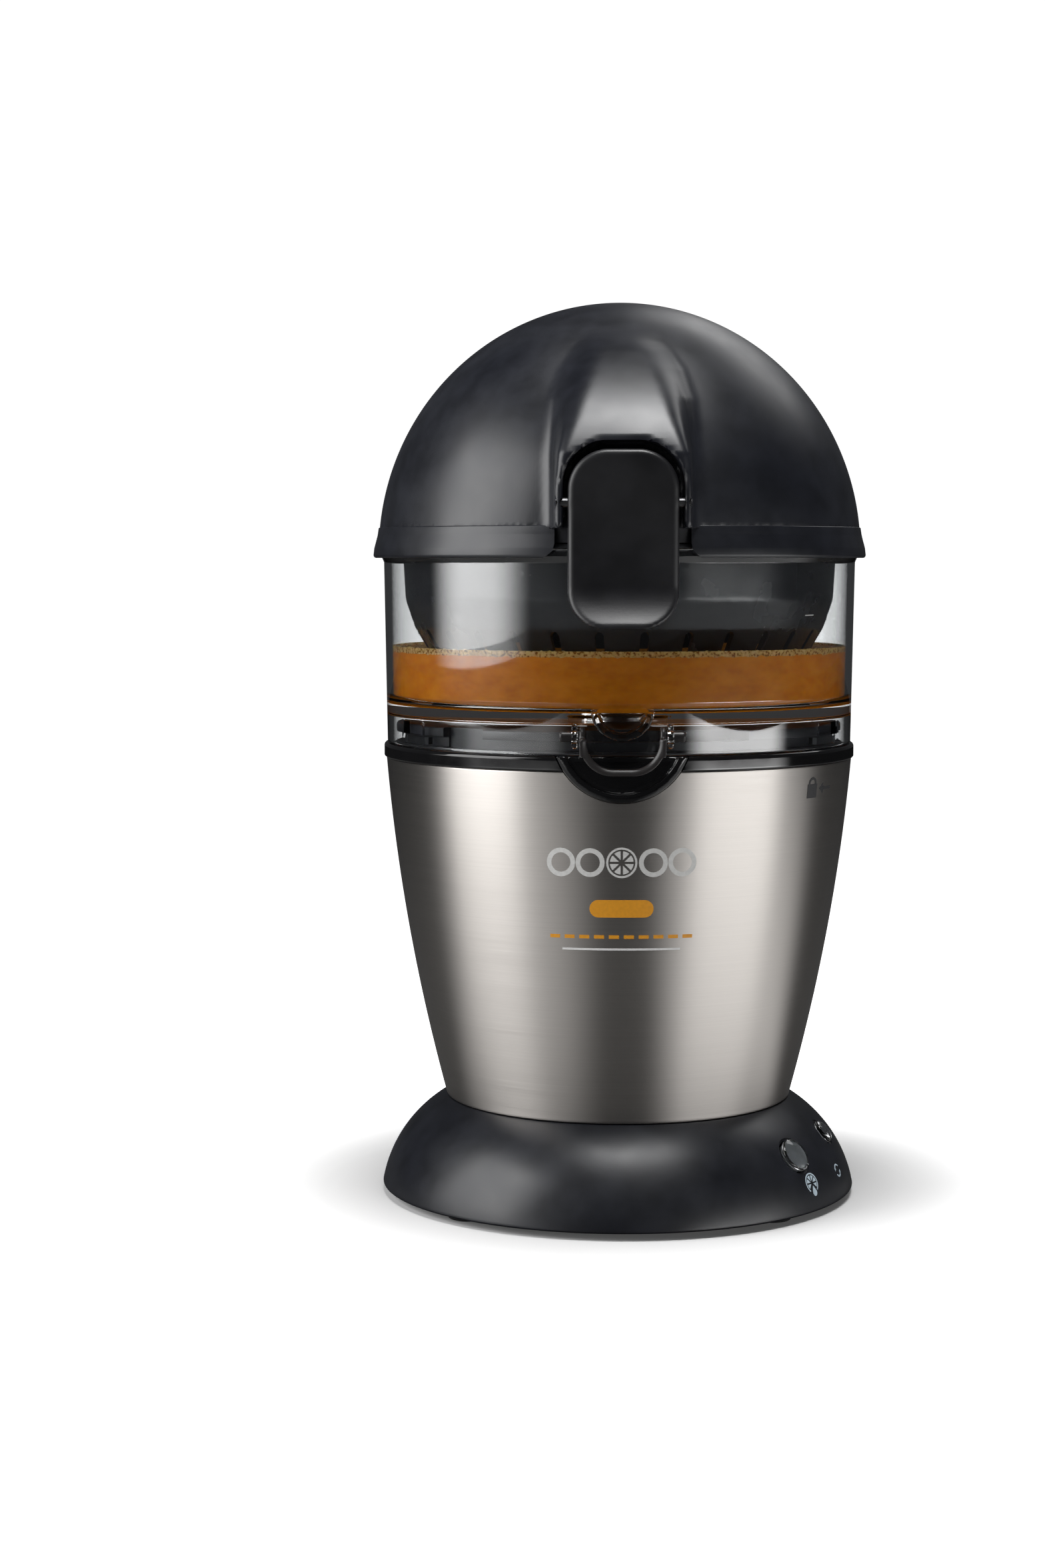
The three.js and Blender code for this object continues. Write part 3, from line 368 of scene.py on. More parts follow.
def moulded(name, field, low, high, step, material, smooth_angle=40):
    """The surface where a field of signed distance is zero, as a mesh of quads.

    Each grid cell that the surface crosses gets one point, which then settles onto the surface.
    """
    axes = [np.arange(a, b + step, step) for a, b in zip(low, high)]
    shape = tuple(len(a) for a in axes)
    grid = np.stack(np.meshgrid(*axes, indexing="ij"), axis=-1).reshape(-1, 3)
    values = np.concatenate([field(part) for part in np.array_split(grid, 8)]).reshape(shape)
    inside = values < 0
    cells = tuple(n - 1 for n in shape)
    corners = [(i, j, k) for i in (0, 1) for j in (0, 1) for k in (0, 1)]

    def corner(array, at):
        return array[tuple(slice(o, o + n) for o, n in zip(at, cells))]

    count = sum(corner(inside, at).astype(np.int8) for at in corners)
    active = (count > 0) & (count < 8)
    number = np.full(cells, -1)
    number[active] = np.arange(active.sum())
    total = np.zeros((active.sum(), 3))
    hits = np.zeros(active.sum())
    for a in corners:
        for axis in range(3):
            if a[axis]:
                continue
            b = tuple(o + (n == axis) for n, o in enumerate(a))
            va, vb = corner(values, a)[active], corner(values, b)[active]
            crossing = (va < 0) != (vb < 0)
            t = np.where(crossing, va / np.where(crossing, va - vb, 1), 0)
            place = np.array(a, float)[None, :].repeat(len(t), 0)
            place[:, axis] += t
            total += place * crossing[:, None]
            hits += crossing
    base = np.argwhere(active)
    points = (base + total / hits[:, None]) * step + np.array(low)
    faces = []
    for axis in range(3):
        u, v = [n for n in range(3) if n != axis]
        first = [slice(1, -1)] * 3
        first[axis] = slice(0, shape[axis] - 1)
        second = list(first)
        second[axis] = slice(1, shape[axis])
        change = inside[tuple(first)] != inside[tuple(second)]
        rising = inside[tuple(first)][change]
        start = np.argwhere(change)
        start[:, u] += 1
        start[:, v] += 1
        ring = []
        for du, dv in ((0, 0), (-1, 0), (-1, -1), (0, -1)):
            at = start.copy()
            at[:, u] += du
            at[:, v] += dv
            ring.append(number[at[:, 0], at[:, 1], at[:, 2]])
        quad = np.stack(ring, 1)
        flip = rising if axis == 1 else ~rising
        quad[flip] = quad[flip][:, ::-1]
        faces.append(quad)
    for _ in range(SETTLING_STEPS):
        slope = field_gradient(field, points)
        norm = np.maximum((slope * slope).sum(1), 1e-6)
        move = -field(points)[:, None] * slope / norm[:, None]
        size = np.linalg.norm(move, axis=1, keepdims=True)
        points += move * np.minimum(1, 0.5 * step / np.maximum(size, 1e-9))
    return new_piece(name, points.tolist(), np.concatenate(faces).tolist(), material, smooth_angle)


def split(points):
    return points[:, 0], points[:, 1], points[:, 2]


def ellipsoid_field(points, a, c, centre):
    """Signed distance, nearly, to an ellipsoid of radius a across and c upwards."""
    scaled = (points - np.array([0, 0, centre])) / np.array([a, a, c])
    k0 = np.linalg.norm(scaled, axis=1)
    k1 = np.linalg.norm(scaled / np.array([a, a, c]), axis=1)
    return k0 * (k0 - 1) / np.maximum(k1, 1e-9)


def between(value, low, high):
    """Signed distance to the stretch from low to high."""
    return np.abs(value - (low + high) / 2) - (high - low) / 2


def slab_field(u, v, half, low, high, low_corner, high_corner):
    """Signed distance to an upright slab outline with its own corner radii below and above."""
    middle = (low + high) / 2
    corner = np.where(v > middle, high_corner, low_corner)
    du = np.abs(u) - half + corner
    dv = np.abs(v - middle) - (high - low) / 2 + corner
    outside = np.hypot(np.maximum(du, 0), np.maximum(dv, 0))
    return np.minimum(np.maximum(du, dv), 0) + outside - corner


# ---------------------------------------------------------------- materials

JUICE_TOP = 196.6       # level of the juice in the jar
FROTH_DEPTH = 0.55      # how far the froth reaches below that level
FROTH_RAGGED = 1.6      # how far the froth's lower edge wanders


def principled(name, color, roughness, metallic=0.0, **sockets):
    """A material with one Principled shader, and its node tree."""
    material = bpy.data.materials.new(name)
    material.use_nodes = True
    inputs = material.node_tree.nodes["Principled BSDF"].inputs
    inputs["Base Color"].default_value = (*color, 1)
    inputs["Roughness"].default_value = roughness
    inputs["Metallic"].default_value = metallic
    for key, value in sockets.items():
        inputs[key.replace("_", " ")].default_value = value
    return material, material.node_tree


def noise(tree, scale, detail, stretch=(1, 1, 1), roughness=0.5):
    """Object-space noise; stretch scales each axis before it, so a small number draws it out."""
    where = tree.nodes.new("ShaderNodeTexCoord")
    mapping = tree.nodes.new("ShaderNodeMapping")
    mapping.inputs["Scale"].default_value = stretch
    tree.links.new(where.outputs["Object"], mapping.inputs["Vector"])
    texture = tree.nodes.new("ShaderNodeTexNoise")
    texture.inputs["Scale"].default_value = scale
    texture.inputs["Detail"].default_value = detail
    texture.inputs["Roughness"].default_value = roughness
    tree.links.new(mapping.outputs["Vector"], texture.inputs["Vector"])
    return texture.outputs["Fac"]


def ramp(tree, source, *stops):
    """A colour ramp with (position, (r, g, b)) or (position, value) stops."""
    node = tree.nodes.new("ShaderNodeValToRGB")
    elements = node.color_ramp.elements
    while len(elements) < len(stops):
        elements.new(0.5)
    for element, (position, value) in zip(elements, stops):
        element.position = position
        color = value if isinstance(value, tuple) else (value, value, value)
        element.color = (*color, 1)
    tree.links.new(source, node.inputs[0])
    return node.outputs[0]


def vary(tree, key, source, *stops):
    """Drives one input of the tree's shader by a colour ramp over a source."""
    tree.links.new(ramp(tree, source, *stops), tree.nodes["Principled BSDF"].inputs[key])


def bump(tree, height, strength, distance):
    """Bumps the tree's shader by a height."""
    node = tree.nodes.new("ShaderNodeBump")
    node.inputs["Strength"].default_value = strength
    node.inputs["Distance"].default_value = distance
    tree.links.new(height, node.inputs["Height"])
    tree.links.new(node.outputs[0], tree.nodes["Principled BSDF"].inputs["Normal"])


def shade(color, factor):
    """The colour made lighter or darker, and no brighter than white."""
    return tuple(min(1, c * factor) for c in color)


def grained_plastic(name, color, roughness, grain, depth=0.00002):
    """Moulded plastic with a fine eroded grain, and a roughness that drifts over the surface."""
    material, tree = principled(name, color, roughness, IOR=1.55)
    bump(tree, noise(tree, grain, 2), 0.55, depth)
    vary(tree, "Roughness", noise(tree, 45, 4), (0.3, roughness - 0.06), (0.7, roughness + 0.06))
    cloud = noise(tree, 90, 5)
    vary(tree, "Base Color", cloud, (0.35, shade(color, 0.8)), (0.65, shade(color, 1.25)))
    return material


def polished_plastic(name, color, roughness):
    """A glossy moulding with slight smudges."""
    material, tree = principled(name, color, roughness)
    bump(tree, noise(tree, 60, 2), 0.15, 0.00005)
    vary(tree, "Roughness", noise(tree, 120, 5), (0.4, roughness), (0.75, roughness + 0.08))
    return material


def clear_plastic(name, tint=(0.97, 0.985, 0.99), roughness=0.015):
    material, tree = principled(name, tint, roughness, Transmission_Weight=1.0, IOR=1.58)
    bump(tree, noise(tree, 25, 2), 0.05, 0.0001)
    return material


def smoke_plastic(name, color, roughness=0.24):
    """A dark, glossy plastic that looks grey where light rakes it."""
    material, tree = principled(name, color, roughness, IOR=1.47)
    bump(tree, noise(tree, 700, 2), 0.1, 0.00002)
    vary(tree, "Roughness", noise(tree, 60, 4), (0.3, roughness - 0.03), (0.7, roughness + 0.05))
    return material


def brushed_steel(name, color, roughness):
    """Steel brushed around the body: fine level scratches, highlights drawn out up and down."""
    material, tree = principled(
        name, color, roughness, 1.0, Anisotropic=0.85, Anisotropic_Rotation=0.25)
    tangent = tree.nodes.new("ShaderNodeTangent")
    tangent.direction_type = "RADIAL"
    tangent.axis = "Z"
    tree.links.new(tangent.outputs[0], tree.nodes["Principled BSDF"].inputs["Tangent"])
    bump(tree, noise(tree, 1, 6, (14, 14, 6500), 0.7), 0.16, 0.00002)
    streak = noise(tree, 1, 6, (9, 9, 4200), 0.7)
    vary(tree, "Base Color", streak, (0.3, shade(color, 0.95)), (0.7, shade(color, 1.04)))
    vary(tree, "Roughness", streak, (0.3, roughness - 0.03), (0.7, roughness + 0.04))
    return material


def plain_metal(name, color, roughness=0.25):
    material, tree = principled(name, color, roughness, 1.0)
    wear = noise(tree, 300, 5)
    vary(tree, "Roughness", wear, (0.3, roughness - 0.08), (0.7, roughness + 0.12))
    bump(tree, wear, 0.1, 0.00003)
    return material


def orange_juice(name):
    """Cloudy juice: deep amber, lighter where pulp drifts, with froth along its top, and a faint
    painted orange glow.
    """
    # The emission below is a painted glow that lightens the juice, which is no lamp.
    material, tree = principled(
        name, (0.4, 0.14, 0.01), 0.22, Subsurface_Weight=0.4, Subsurface_Scale=0.01,
        Subsurface_Radius=(1.0, 0.42, 0.05), IOR=1.34,
        Emission_Color=(0.8, 0.3, 0.02, 1), Emission_Strength=0.04)
    body = ramp(
        tree, noise(tree, 130, 6, (1, 1, 1.8), 0.6), (0.25, (0.49, 0.13, 0.003)),
        (0.5, (0.62, 0.185, 0.004)), (0.8, (0.74, 0.25, 0.009)))
    froth = ramp(
        tree, noise(tree, 1100, 1), (0.36, (0.16, 0.06, 0.01)),
        (0.46, (0.5, 0.3, 0.1)), (0.7, (0.66, 0.44, 0.18)))
    height = separate(tree, tree.nodes.new("ShaderNodeTexCoord").outputs["Object"])["Z"]
    ragged = value_node(
        tree, "MULTIPLY_ADD", noise(tree, 400, 3, (1, 1, 0.4)), FROTH_RAGGED * MM, height)
    level = value_node(tree, "GREATER_THAN", ragged, (JUICE_TOP - FROTH_DEPTH) * MM)
    tree.links.new(
        blend(tree, "RGBA", level, body, froth), tree.nodes["Principled BSDF"].inputs["Base Color"])
    return material


def juice_foam(name):
    material, tree = principled(
        name, (0.9, 0.62, 0.25), 0.25, Subsurface_Weight=0.4, Subsurface_Scale=0.003)
    speckle = noise(tree, 500, 4)
    vary(tree, "Base Color", speckle, (0.3, (0.78, 0.44, 0.12)), (0.7, (0.95, 0.74, 0.4)))
    return material


def printed_ink(name, color):
    material, tree = principled(name, color, 0.4)
    vary(tree, "Base Color", noise(tree, 900, 3), (0.3, shade(color, 0.88)), (0.7, color))
    return material


BLACK = grained_plastic("satin_black", (0.0075, 0.0085, 0.0125), 0.37, 1500)
LATCH_BLACK = grained_plastic("latch_black", (0.004, 0.004, 0.0055), 0.43, 1200, 0.00003)
GLOSS = polished_plastic("gloss_black", (0.006, 0.006, 0.0065), 0.08)
STEEL = brushed_steel("brushed_steel", (0.575, 0.545, 0.515), 0.37)
CLEAR = clear_plastic("clear_plastic")
SMOKE = smoke_plastic("smoke_plastic", (0.022, 0.024, 0.028))
SPOUT = smoke_plastic("spout_plastic", (0.02, 0.018, 0.018), 0.3)
JUICE = orange_juice("orange_juice")
FOAM = juice_foam("juice_foam")
RUBBER = grained_plastic("rubber", (0.012, 0.012, 0.012), 0.8, 800)
BRIGHT = plain_metal("bright_steel", (0.6, 0.6, 0.61))
# The pins' steel is darkened far below the bright steel: painted shade for the gap between latch
# and hood where the pins sit.
SHADED_PIN_STEEL = plain_metal("pin_steel_painted_shade", (0.16, 0.16, 0.165), 0.3)
BRASS = plain_metal("brass", (0.68, 0.48, 0.2), 0.3)
COPPER = plain_metal("copper", (0.55, 0.27, 0.13), 0.35)
NATURAL = grained_plastic("natural_plastic", (0.72, 0.68, 0.58), 0.45, 700)
BOARD = grained_plastic("board_green", (0.02, 0.13, 0.05), 0.5, 500)
BUTTON_CORE = grained_plastic("button_core", (0.23, 0.24, 0.25), 0.3, 900)
BUTTON_CLEAR = clear_plastic("button_clear", (0.9, 0.92, 0.93), 0.05)
INK_GREY = printed_ink("ink_light_grey", (0.72, 0.72, 0.70))
INK_ORANGE = printed_ink("ink_orange", (0.85, 0.36, 0.02))
INK_DARK = printed_ink("ink_dark", (0.03, 0.03, 0.032))
INK_BLUE = printed_ink("ink_pale_blue", (0.55, 0.66, 0.74))
INK_LIGHT = printed_ink("ink_white", (0.86, 0.86, 0.85))


# ---------------------------------------------------------------- base

BASE_CENTRE = (40.3, -5.4)      # radius and height of the arc's centre
BASE_RADIUS = 45.7
BASE_WALL = 2.5
# Each button's azimuth in degrees, height and radius
BUTTONS = {"start_button": (52, 21.5, 6.0), "return_button": (76, 23.9, 4.25)}


def arc_points(radius, z0, z1, count):
    """Points on the base's arc, or on one parallel to it, from height z0 to z1."""
    r, z = BASE_CENTRE
    a0, a1 = (math.asin((h - z) / radius) for h in (z0, z1))
    return [
        (r + radius * math.cos(a), z + radius * math.sin(a))
        for a in np.linspace(a0, a1, count)]


def base_frame(azimuth, z):
    """A matrix, in millimetres, whose Z axis is the base's normal at an azimuth and height."""
    reach = math.sqrt(BASE_RADIUS ** 2 - (z - BASE_CENTRE[1]) ** 2)
    radius = BASE_CENTRE[0] + reach
    around = math.radians(azimuth - 90)
    out = Vector((math.cos(around), math.sin(around), 0))
    normal = (out * reach + Vector((0, 0, z - BASE_CENTRE[1]))).normalized()
    side = Vector((-out.y, out.x, 0))
    up = normal.cross(side)
    place = Matrix((side, up, normal)).transposed().to_4x4()
    place.translation = Vector((out.x * radius, out.y * radius, z))
    return place


def place_mm(piece, matrix):
    """Moves a piece's mesh by a matrix whose translation is in millimetres."""
    scaled = matrix.copy()
    scaled.translation = matrix.translation * MM
    piece.data.transform(scaled)
    return piece


def make_base():
    """The round base, with a well for each button and the bore of the cord inlet."""
    low, high = node_mm("base_shell")
    outer = arc_points(BASE_RADIUS, low[2], high[2], 30)
    inner = arc_points(BASE_RADIUS - BASE_WALL, low[2], high[2] - 3, 16)[::-1]
    shell = turned("base_cover", [
        (*outer[0], 0.9), *outer[1:-1], (*outer[-1], 0.5), (52, high[2], 0.5),
        (52, high[2] - 3, 0.5), *inner[:-1], (*inner[-1], 0.4)], BLACK, 180)
    for azimuth, z, radius in BUTTONS.values():
        mouth = radius + 1.1
        well = turned("well", [
            (0, -12), (radius + 0.3, -12), (radius + 0.3, -1.0, 0.2), (mouth, -1.0, 0.2),
            (mouth, -0.3), (mouth + 0.9, 0.5), (mouth + 0.9, 6), (0, 6)], BLACK, 48)
        boolean(shell, place_mm(well, base_frame(azimuth, z)))
    low, high = node_mm("cord_inlet")
    boolean(shell, bore_tool(6, 68, 98, (low[2] + high[2]) / 2, 48))
    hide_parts("base_shell")
    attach(shell, "housing")


def make_feet():
    for place in ("front_right", "rear_right", "rear_left", "front_left"):
        low, high = node_mm(f"foot_{place}")
        radius = (high[1] - low[1]) / 2
        foot = turned(f"foot_pad_{place}", [
            (0, 0), (radius - 2.5, 0, 0.3), (radius - 2.2, 0.5, 0.2), (radius, 0.3, 0.5),
            (radius, 2.2, 0.3), (3, 2.2), (3, 5), (4, 5, 0.3), (3, high[2]), (0, high[2])],
            RUBBER, 48)
        foot.data.transform(Matrix.Translation(
            ((low[0] + high[0]) / 2 * MM, (low[1] + high[1]) / 2 * MM, 0)))
        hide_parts(f"foot_{place}")
        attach(foot, "housing")


def make_buttons():
    """Each button is a clear cap over a grey core."""
    for name, (azimuth, z, radius) in BUTTONS.items():
        inner = turned(f"{name}_core", [
            (0, -7.3), (radius + 1, -6.2, 0.3), (radius + 1, -4.9, 0.3), (radius - 0.9, -4.7),
            (radius - 0.9, -0.4, 0.5), (0, -0.1)], BUTTON_CORE, 64)
        outer = turned(f"{name}_cap", [
            (0, 0.0), (radius - 0.7, -0.35, 0.3), (radius - 0.7, -4.4), (radius, -4.4),
            (radius, 1.0, 0.8), (radius * 0.5, 1.7, 4), (0, 1.8)], BUTTON_CLEAR, 64)
        for piece in (inner, outer):
            place_mm(piece, base_frame(azimuth, z))
        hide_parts(name)
        for piece in (inner, outer):
            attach(piece, name)


# ---------------------------------------------------------------- sleeve, ring, bezel, deck

STEEL_TOP = node_mm("steel_shell")[1][2]
RING_LOW, RING_HIGH = node_mm("top_ring")
BEZEL_RADIUS = 23.4
BEZEL_HEIGHT = 170.5


def steel_radius(z):
    """Outer radius of the steel body at a height."""
    down = STEEL_TOP - z
    return 83.4 - 0.082 * down - 0.000762 * down ** 2


def bezel_opening():
    return bore_tool(BEZEL_RADIUS + 0.3, -100, -50, BEZEL_HEIGHT, 128)


def make_sleeve():
    """The steel body: a thin sheet that turns in under its lower edge."""
    low, high = node_mm("steel_shell")
    heights = np.linspace(high[2], low[2], 24)
    outer = [(steel_radius(z), z) for z in heights]
    inner = [(steel_radius(z) - 1, z) for z in heights[::-1][1:]]
    sleeve = turned("steel_sleeve", [
        (*outer[0], 0.3), *outer[1:-1], (*outer[-1], 0.9), (54, low[2]), (54, low[2] + 1),
        *inner], STEEL, 200)
    boolean(sleeve, bezel_opening())
    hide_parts("steel_shell")
    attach(sleeve, "housing")


def make_ring():
    radius, bottom, top = RING_HIGH[0], RING_LOW[2], RING_HIGH[2]
    ring = turned("gloss_ring", [
        (radius - 0.4, bottom, 0.2), (radius, bottom + 0.4, 0.3), (radius, top, 1.1),
        (radius - 4, top), (radius - 4, bottom)], GLOSS, 200, 6)
    boolean(ring, bezel_opening())
    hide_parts("top_ring")
    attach(ring, "housing")


def bezel_field(points):
    """The half-round plate behind the spout, dished towards its middle."""
    x, y, z = split(points)
    r = np.hypot(x, y)
    circle = np.hypot(x, z - BEZEL_HEIGHT)
    wall = smooth_max(r - 85, 82.3 - r, 0.8)
    plate = smooth_max(smooth_max(wall, circle - BEZEL_RADIUS, 1.2), z - RING_HIGH[2], 0.5)
    dish = smooth_max(circle - BEZEL_RADIUS + 3.2, 83.6 - r, 0.8)
    return smooth_max(plate, -dish, 0.9)


def make_bezel():
    bezel = moulded(
        "spout_surround", bezel_field, (-24.5, -86, 145), (24.5, -78, 164), 0.6, GLOSS)
    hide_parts("spout_bezel")
    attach(bezel, "housing")


LUG_AZIMUTHS = (60, 120, 240, 300)
LUG_HALF = 5        # degrees
TWIST = 18          # degrees from locked to free


def sector_tool(azimuth0, azimuth1, inner, outer, low, high, steps=12):
    """A ring sector between two azimuths, two radii and two heights, as a boolean tool."""
    vertices, faces = [], []
    for k in range(steps + 1):
        a = math.radians(azimuth0 + (azimuth1 - azimuth0) * k / steps - 90)
        for r, z in ((inner, low), (outer, low), (outer, high), (inner, high)):
            vertices.append((r * math.cos(a), r * math.sin(a), z))
    for k in range(steps):
        for j in range(4):
            a, b = k * 4 + j, k * 4 + (j + 1) % 4
            faces.append((a, b, b + 4, a + 4))
    faces += [(0, 3, 2, 1), tuple(steps * 4 + j for j in range(4))]
    return new_piece("tool", vertices, faces, BLACK)


def make_deck():
    """The deck under the jar, with a way in for each lug and for the outlet."""
    top = node_mm("screw_guide")[1][2]
    deck = turned("jar_deck", [
        (6.5, top, 0.3), (10.9, top, 0.8), (10.9, 170.5, 1.5), (79.7, 170.5, 0.8),
        (79.7, 167.2, 0.2), (77.4, 167.2), (77.4, 163.8), (79.7, 163.8, 0.3), (79.7, 157.2),
        (82, 157.2), (82, 155), (79.7, 155), (79.7, 152), (75, 152), (75, 166, 1), (16, 166),
        (16, 141.3), (12.3, 141.3), (12.3, 156), (6.5, 156)], BLACK, 160)
    for azimuth in LUG_AZIMUTHS:
        free = azimuth + TWIST
        boolean(deck, sector_tool(free - 6.5, free + 6.5, 76.8, 82, 163.6, 172))
    boolean(deck, sector_tool(-14, TWIST + 14, 68.5, 82, 167, 172, 24))
    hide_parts("deck", "screw_guide")
    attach(deck, "housing")


# ---------------------------------------------------------------- jar, juice, spout

JAR_LOW, JAR_HIGH = node_mm("jar")
JAR_FLOOR = (173.5, 176.5)
JAR_TUBE = (11.5, 13.3)         # inner and outer radius of the tube round the spindle
OUTLET = {"radius": 8.5, "z": 178.5, "wall": 2}
PIVOT = {"y": -87.5, "z": 169.5}


def jar_wall(z):
    """Inner radius of the jar at a height."""
    return 80.9 + 0.7 * (z - 178) / 53


def make_jar():
    """The jar with its floor and spindle tube, lugs in its skirt, and the outlet."""
    bottom, top = JAR_LOW[2], JAR_HIGH[2]
    below, floor = JAR_FLOOR
    bore, tube = JAR_TUBE
    jar = turned("clear_jar", [
        (83, bottom, 0.4), (84.1, top - 4.4, 1), (85, top - 2.4, 0.4), (85, top, 0.5),
        (81.6, top, 0.4), (80.9, floor + 0.5, 3), (tube, floor, 1.2), (tube, 189.2, 0.6),
        (bore, 189.2, 0.5), (bore, below, 0.6), (80.8, below, 0.8), (80.8, bottom, 0.4)],
        CLEAR, 200, 5)
    for azimuth in LUG_AZIMUTHS:
        span = (azimuth - LUG_HALF, azimuth + LUG_HALF)
        boolean(jar, sector_tool(*span, 77.9, 81.6, 164.3, 166.7), "UNION")
        boolean(jar, sector_tool(*span, 79, 90, 167.4, 171.8))
    nozzle = moulded(
        "nozzle", nozzle_field, (-18.5, -92, 163.5), (18.5, -70.5, 180), 0.55, CLEAR)
    boolean(jar, nozzle, "UNION")
    boolean(jar, moulded(
        "channel", channel_field, (-11, -96, 168), (11, -71, 180), 0.6, CLEAR))
    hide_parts("jar", "jar_floor", "jar_outlet")
    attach(jar, "jar")


def nozzle_field(points):
    """The half-round outlet with its two pivot cheeks."""
    x, y, z = split(points)
    tube = np.hypot(x, z - OUTLET["z"]) - OUTLET["radius"] - OUTLET["wall"]
    inner = np.maximum(np.maximum(tube, between(-y, 72, 82)), z - JAR_FLOOR[1] + 0.1)
    outer = smooth_max(smooth_max(tube, between(-y, 82, 89), 0.6), z - OUTLET["z"], 0.6)
    cheek = smooth_max(between(np.abs(x), 14.8, 16.8), between(-y, 80.6, 90.6), 0.6)
    cheek = smooth_max(cheek, np.abs(z - PIVOT["z"]) - 4, 1.2)
    hole = np.hypot(y - PIVOT["y"], z - PIVOT["z"]) - 2.2
    return np.minimum(np.minimum(inner, outer), smooth_max(cheek, -hole, 0.4))


def channel_field(points):
    """The channel that juice runs out by."""
    x, y, z = split(points)
    tube = np.hypot(x, z - OUTLET["z"]) - OUTLET["radius"]
    return smooth_max(smooth_max(tube, between(-y, 73.5, 95), 0.6), z - OUTLET["z"], 0.6)


BUBBLES = 420


def make_juice():
    """Juice that creeps a little up the jar's wall, with a crowd of bubbles at the edge."""
    gap = 0.08
    inside = JAR_TUBE[1] + gap
    wall = [(jar_wall(z) - gap, z) for z in np.linspace(JUICE_TOP, 180, 8)]
    juice = turned("juice", [
        (inside, JUICE_TOP), (jar_wall(JUICE_TOP) - 2.2, JUICE_TOP - 0.1),
        (wall[0][0] - 0.7, JUICE_TOP + 0.15), (wall[0][0], JUICE_TOP + 0.7), *wall[1:],
        (78.2, JAR_FLOOR[1] + 0.2, 1), (inside, JAR_FLOOR[1] + 0.1)], JUICE, 160)
    rng = random.Random(11)
    vertices, faces = [], []
    for _ in range(BUBBLES):
        around = rng.uniform(0, TAU)
        size = rng.uniform(0.25, 0.85) ** 1.5
        radius = jar_wall(JUICE_TOP) - 0.25 - size - abs(rng.gauss(0, 1.1))
        add_bubble(vertices, faces, (radius * math.cos(around), radius * math.sin(around),
                                     JUICE_TOP + 0.25 * size), size)
    foam = new_piece("juice_foam", vertices, faces, FOAM)
    for piece in (juice, foam):
        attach(piece, "jar")


def add_bubble(vertices, faces, centre, size):
    """Adds a small ball to a mesh that is being made."""
    around, rows = 8, 4
    first = len(vertices)
    x, y, z = centre
    vertices.append((x, y, z + size))
    for j in range(1, rows):
        lift, wide = math.cos(math.pi * j / rows), math.sin(math.pi * j / rows)
        for k in range(around):
            a = TAU * k / around
            vertices.append((
                x + size * wide * math.cos(a), y + size * wide * math.sin(a), z + size * lift))
    vertices.append((x, y, z - size))
    last = len(vertices) - 1
    for k in range(around):
        nxt = (k + 1) % around
        faces.append((first, first + 1 + k, first + 1 + nxt))
        for j in range(rows - 2):
            a, b = first + 1 + j * around, first + 1 + (j + 1) * around
            faces.append((a + k, b + k, b + nxt, a + nxt))
        faces.append((last, last - around + nxt, last - around + k))


def chute_field(points):
    """The tipping spout: a rounded trough between two pivot ears."""
    x, y, z = split(points)
    low, _ = node_mm("spout_chute")
    front, back = -low[1], 86.4
    wall = (12.4, 14.2)
    outer = slab_field(x, z, wall[1], low[2], 169.3, 11, 1)
    lip = np.clip((-y - front + 3.2) / 2, 0, 1)
    inner = slab_field(x, z, wall[0], low[2] + 1.8, 180, 9.6, 1) + 1.2 * lip
    hollow = smooth_max(-inner, between(-y, back, front), 4)
    trough = smooth_max(outer, hollow, 0.8)
    across = np.hypot(y - PIVOT["y"], z - PIVOT["z"])
    ear = smooth_max(across - 3.4, between(np.abs(x), *wall), 0.8)
    pin = smooth_max(across - 1.8, between(np.abs(x), 13.2, 20.8), 0.8)
    return smooth_min(smooth_min(trough, ear, 0.8), pin, 0.5)


def make_chute():
    low, high = node_mm("spout_chute")
    chute = moulded(
        "tipping_spout", chute_field, [v - 1 for v in low], [v + 1 for v in high], 0.5, SPOUT)
    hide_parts("spout_chute")
    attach(chute, "spout")


# ---------------------------------------------------------------- basket, reamer, press cup

SLOTS = 30


def make_basket():
    """The strainer: a bowl with a flange, slotted around its lower wall."""
    top = node_mm("strainer_basket")[1][2]
    basket = turned("strainer", [
        (84, top, 0.4), (84, top - 1.5, 0.3), (77.4, top - 1.5, 1), (76.4, 213.5, 12),
        (73.1, 203.7, 12), (66, 191.5, 10), (56, 184, 6), (14.2, 184, 0.4), (14.2, 191.3, 0.5),
        (16, 191.3, 0.5), (16, 186, 0.8), (55, 186, 6), (64, 192.8, 10), (71.2, 204.5, 12),
        (74.3, 213.5, 12), (75.3, top, 0.4)], SMOKE, 180, 5)
    half, low, high = 1.5, 182, 202
    section = [
        (-half, low), (half, low), (half, high),
        *[(half * math.cos(t), high + half * math.sin(t)) for t in np.linspace(0.4, 2.74, 5)],
        (-half, high)]
    vertices, faces = [], []
    for k in range(SLOTS):
        a = TAU * k / SLOTS
        out, side = np.array([math.cos(a), math.sin(a)]), np.array([-math.sin(a), math.cos(a)])
        faces += prism_faces(len(section), len(vertices))
        vertices += [(*(out * reach + side * u), z) for reach in (50, 86) for u, z in section]
    boolean(basket, new_piece("slots", vertices, faces, SMOKE))
    mark = decal("fill_line", [bar(0, 0, 6.4, 0.45)], INK_LIGHT, basket_surface, 59.5)
    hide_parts("strainer_basket")
    for piece in (basket, mark):
        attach(piece, "basket")


def basket_surface(azimuth, u, v, height):
    """A point on the basket's outer wall, u along it and v above its fill height."""
    radius = 74.75 + v * 0.33 + height
    return wrapped(azimuth, u / radius, radius, 208.5 + v)


RIBS = 8
RIB_LEAN = 0.006        # turns that a rib leans by for each millimetre it climbs
RIB_HEIGHT = 3
CONE_FOOT = 197


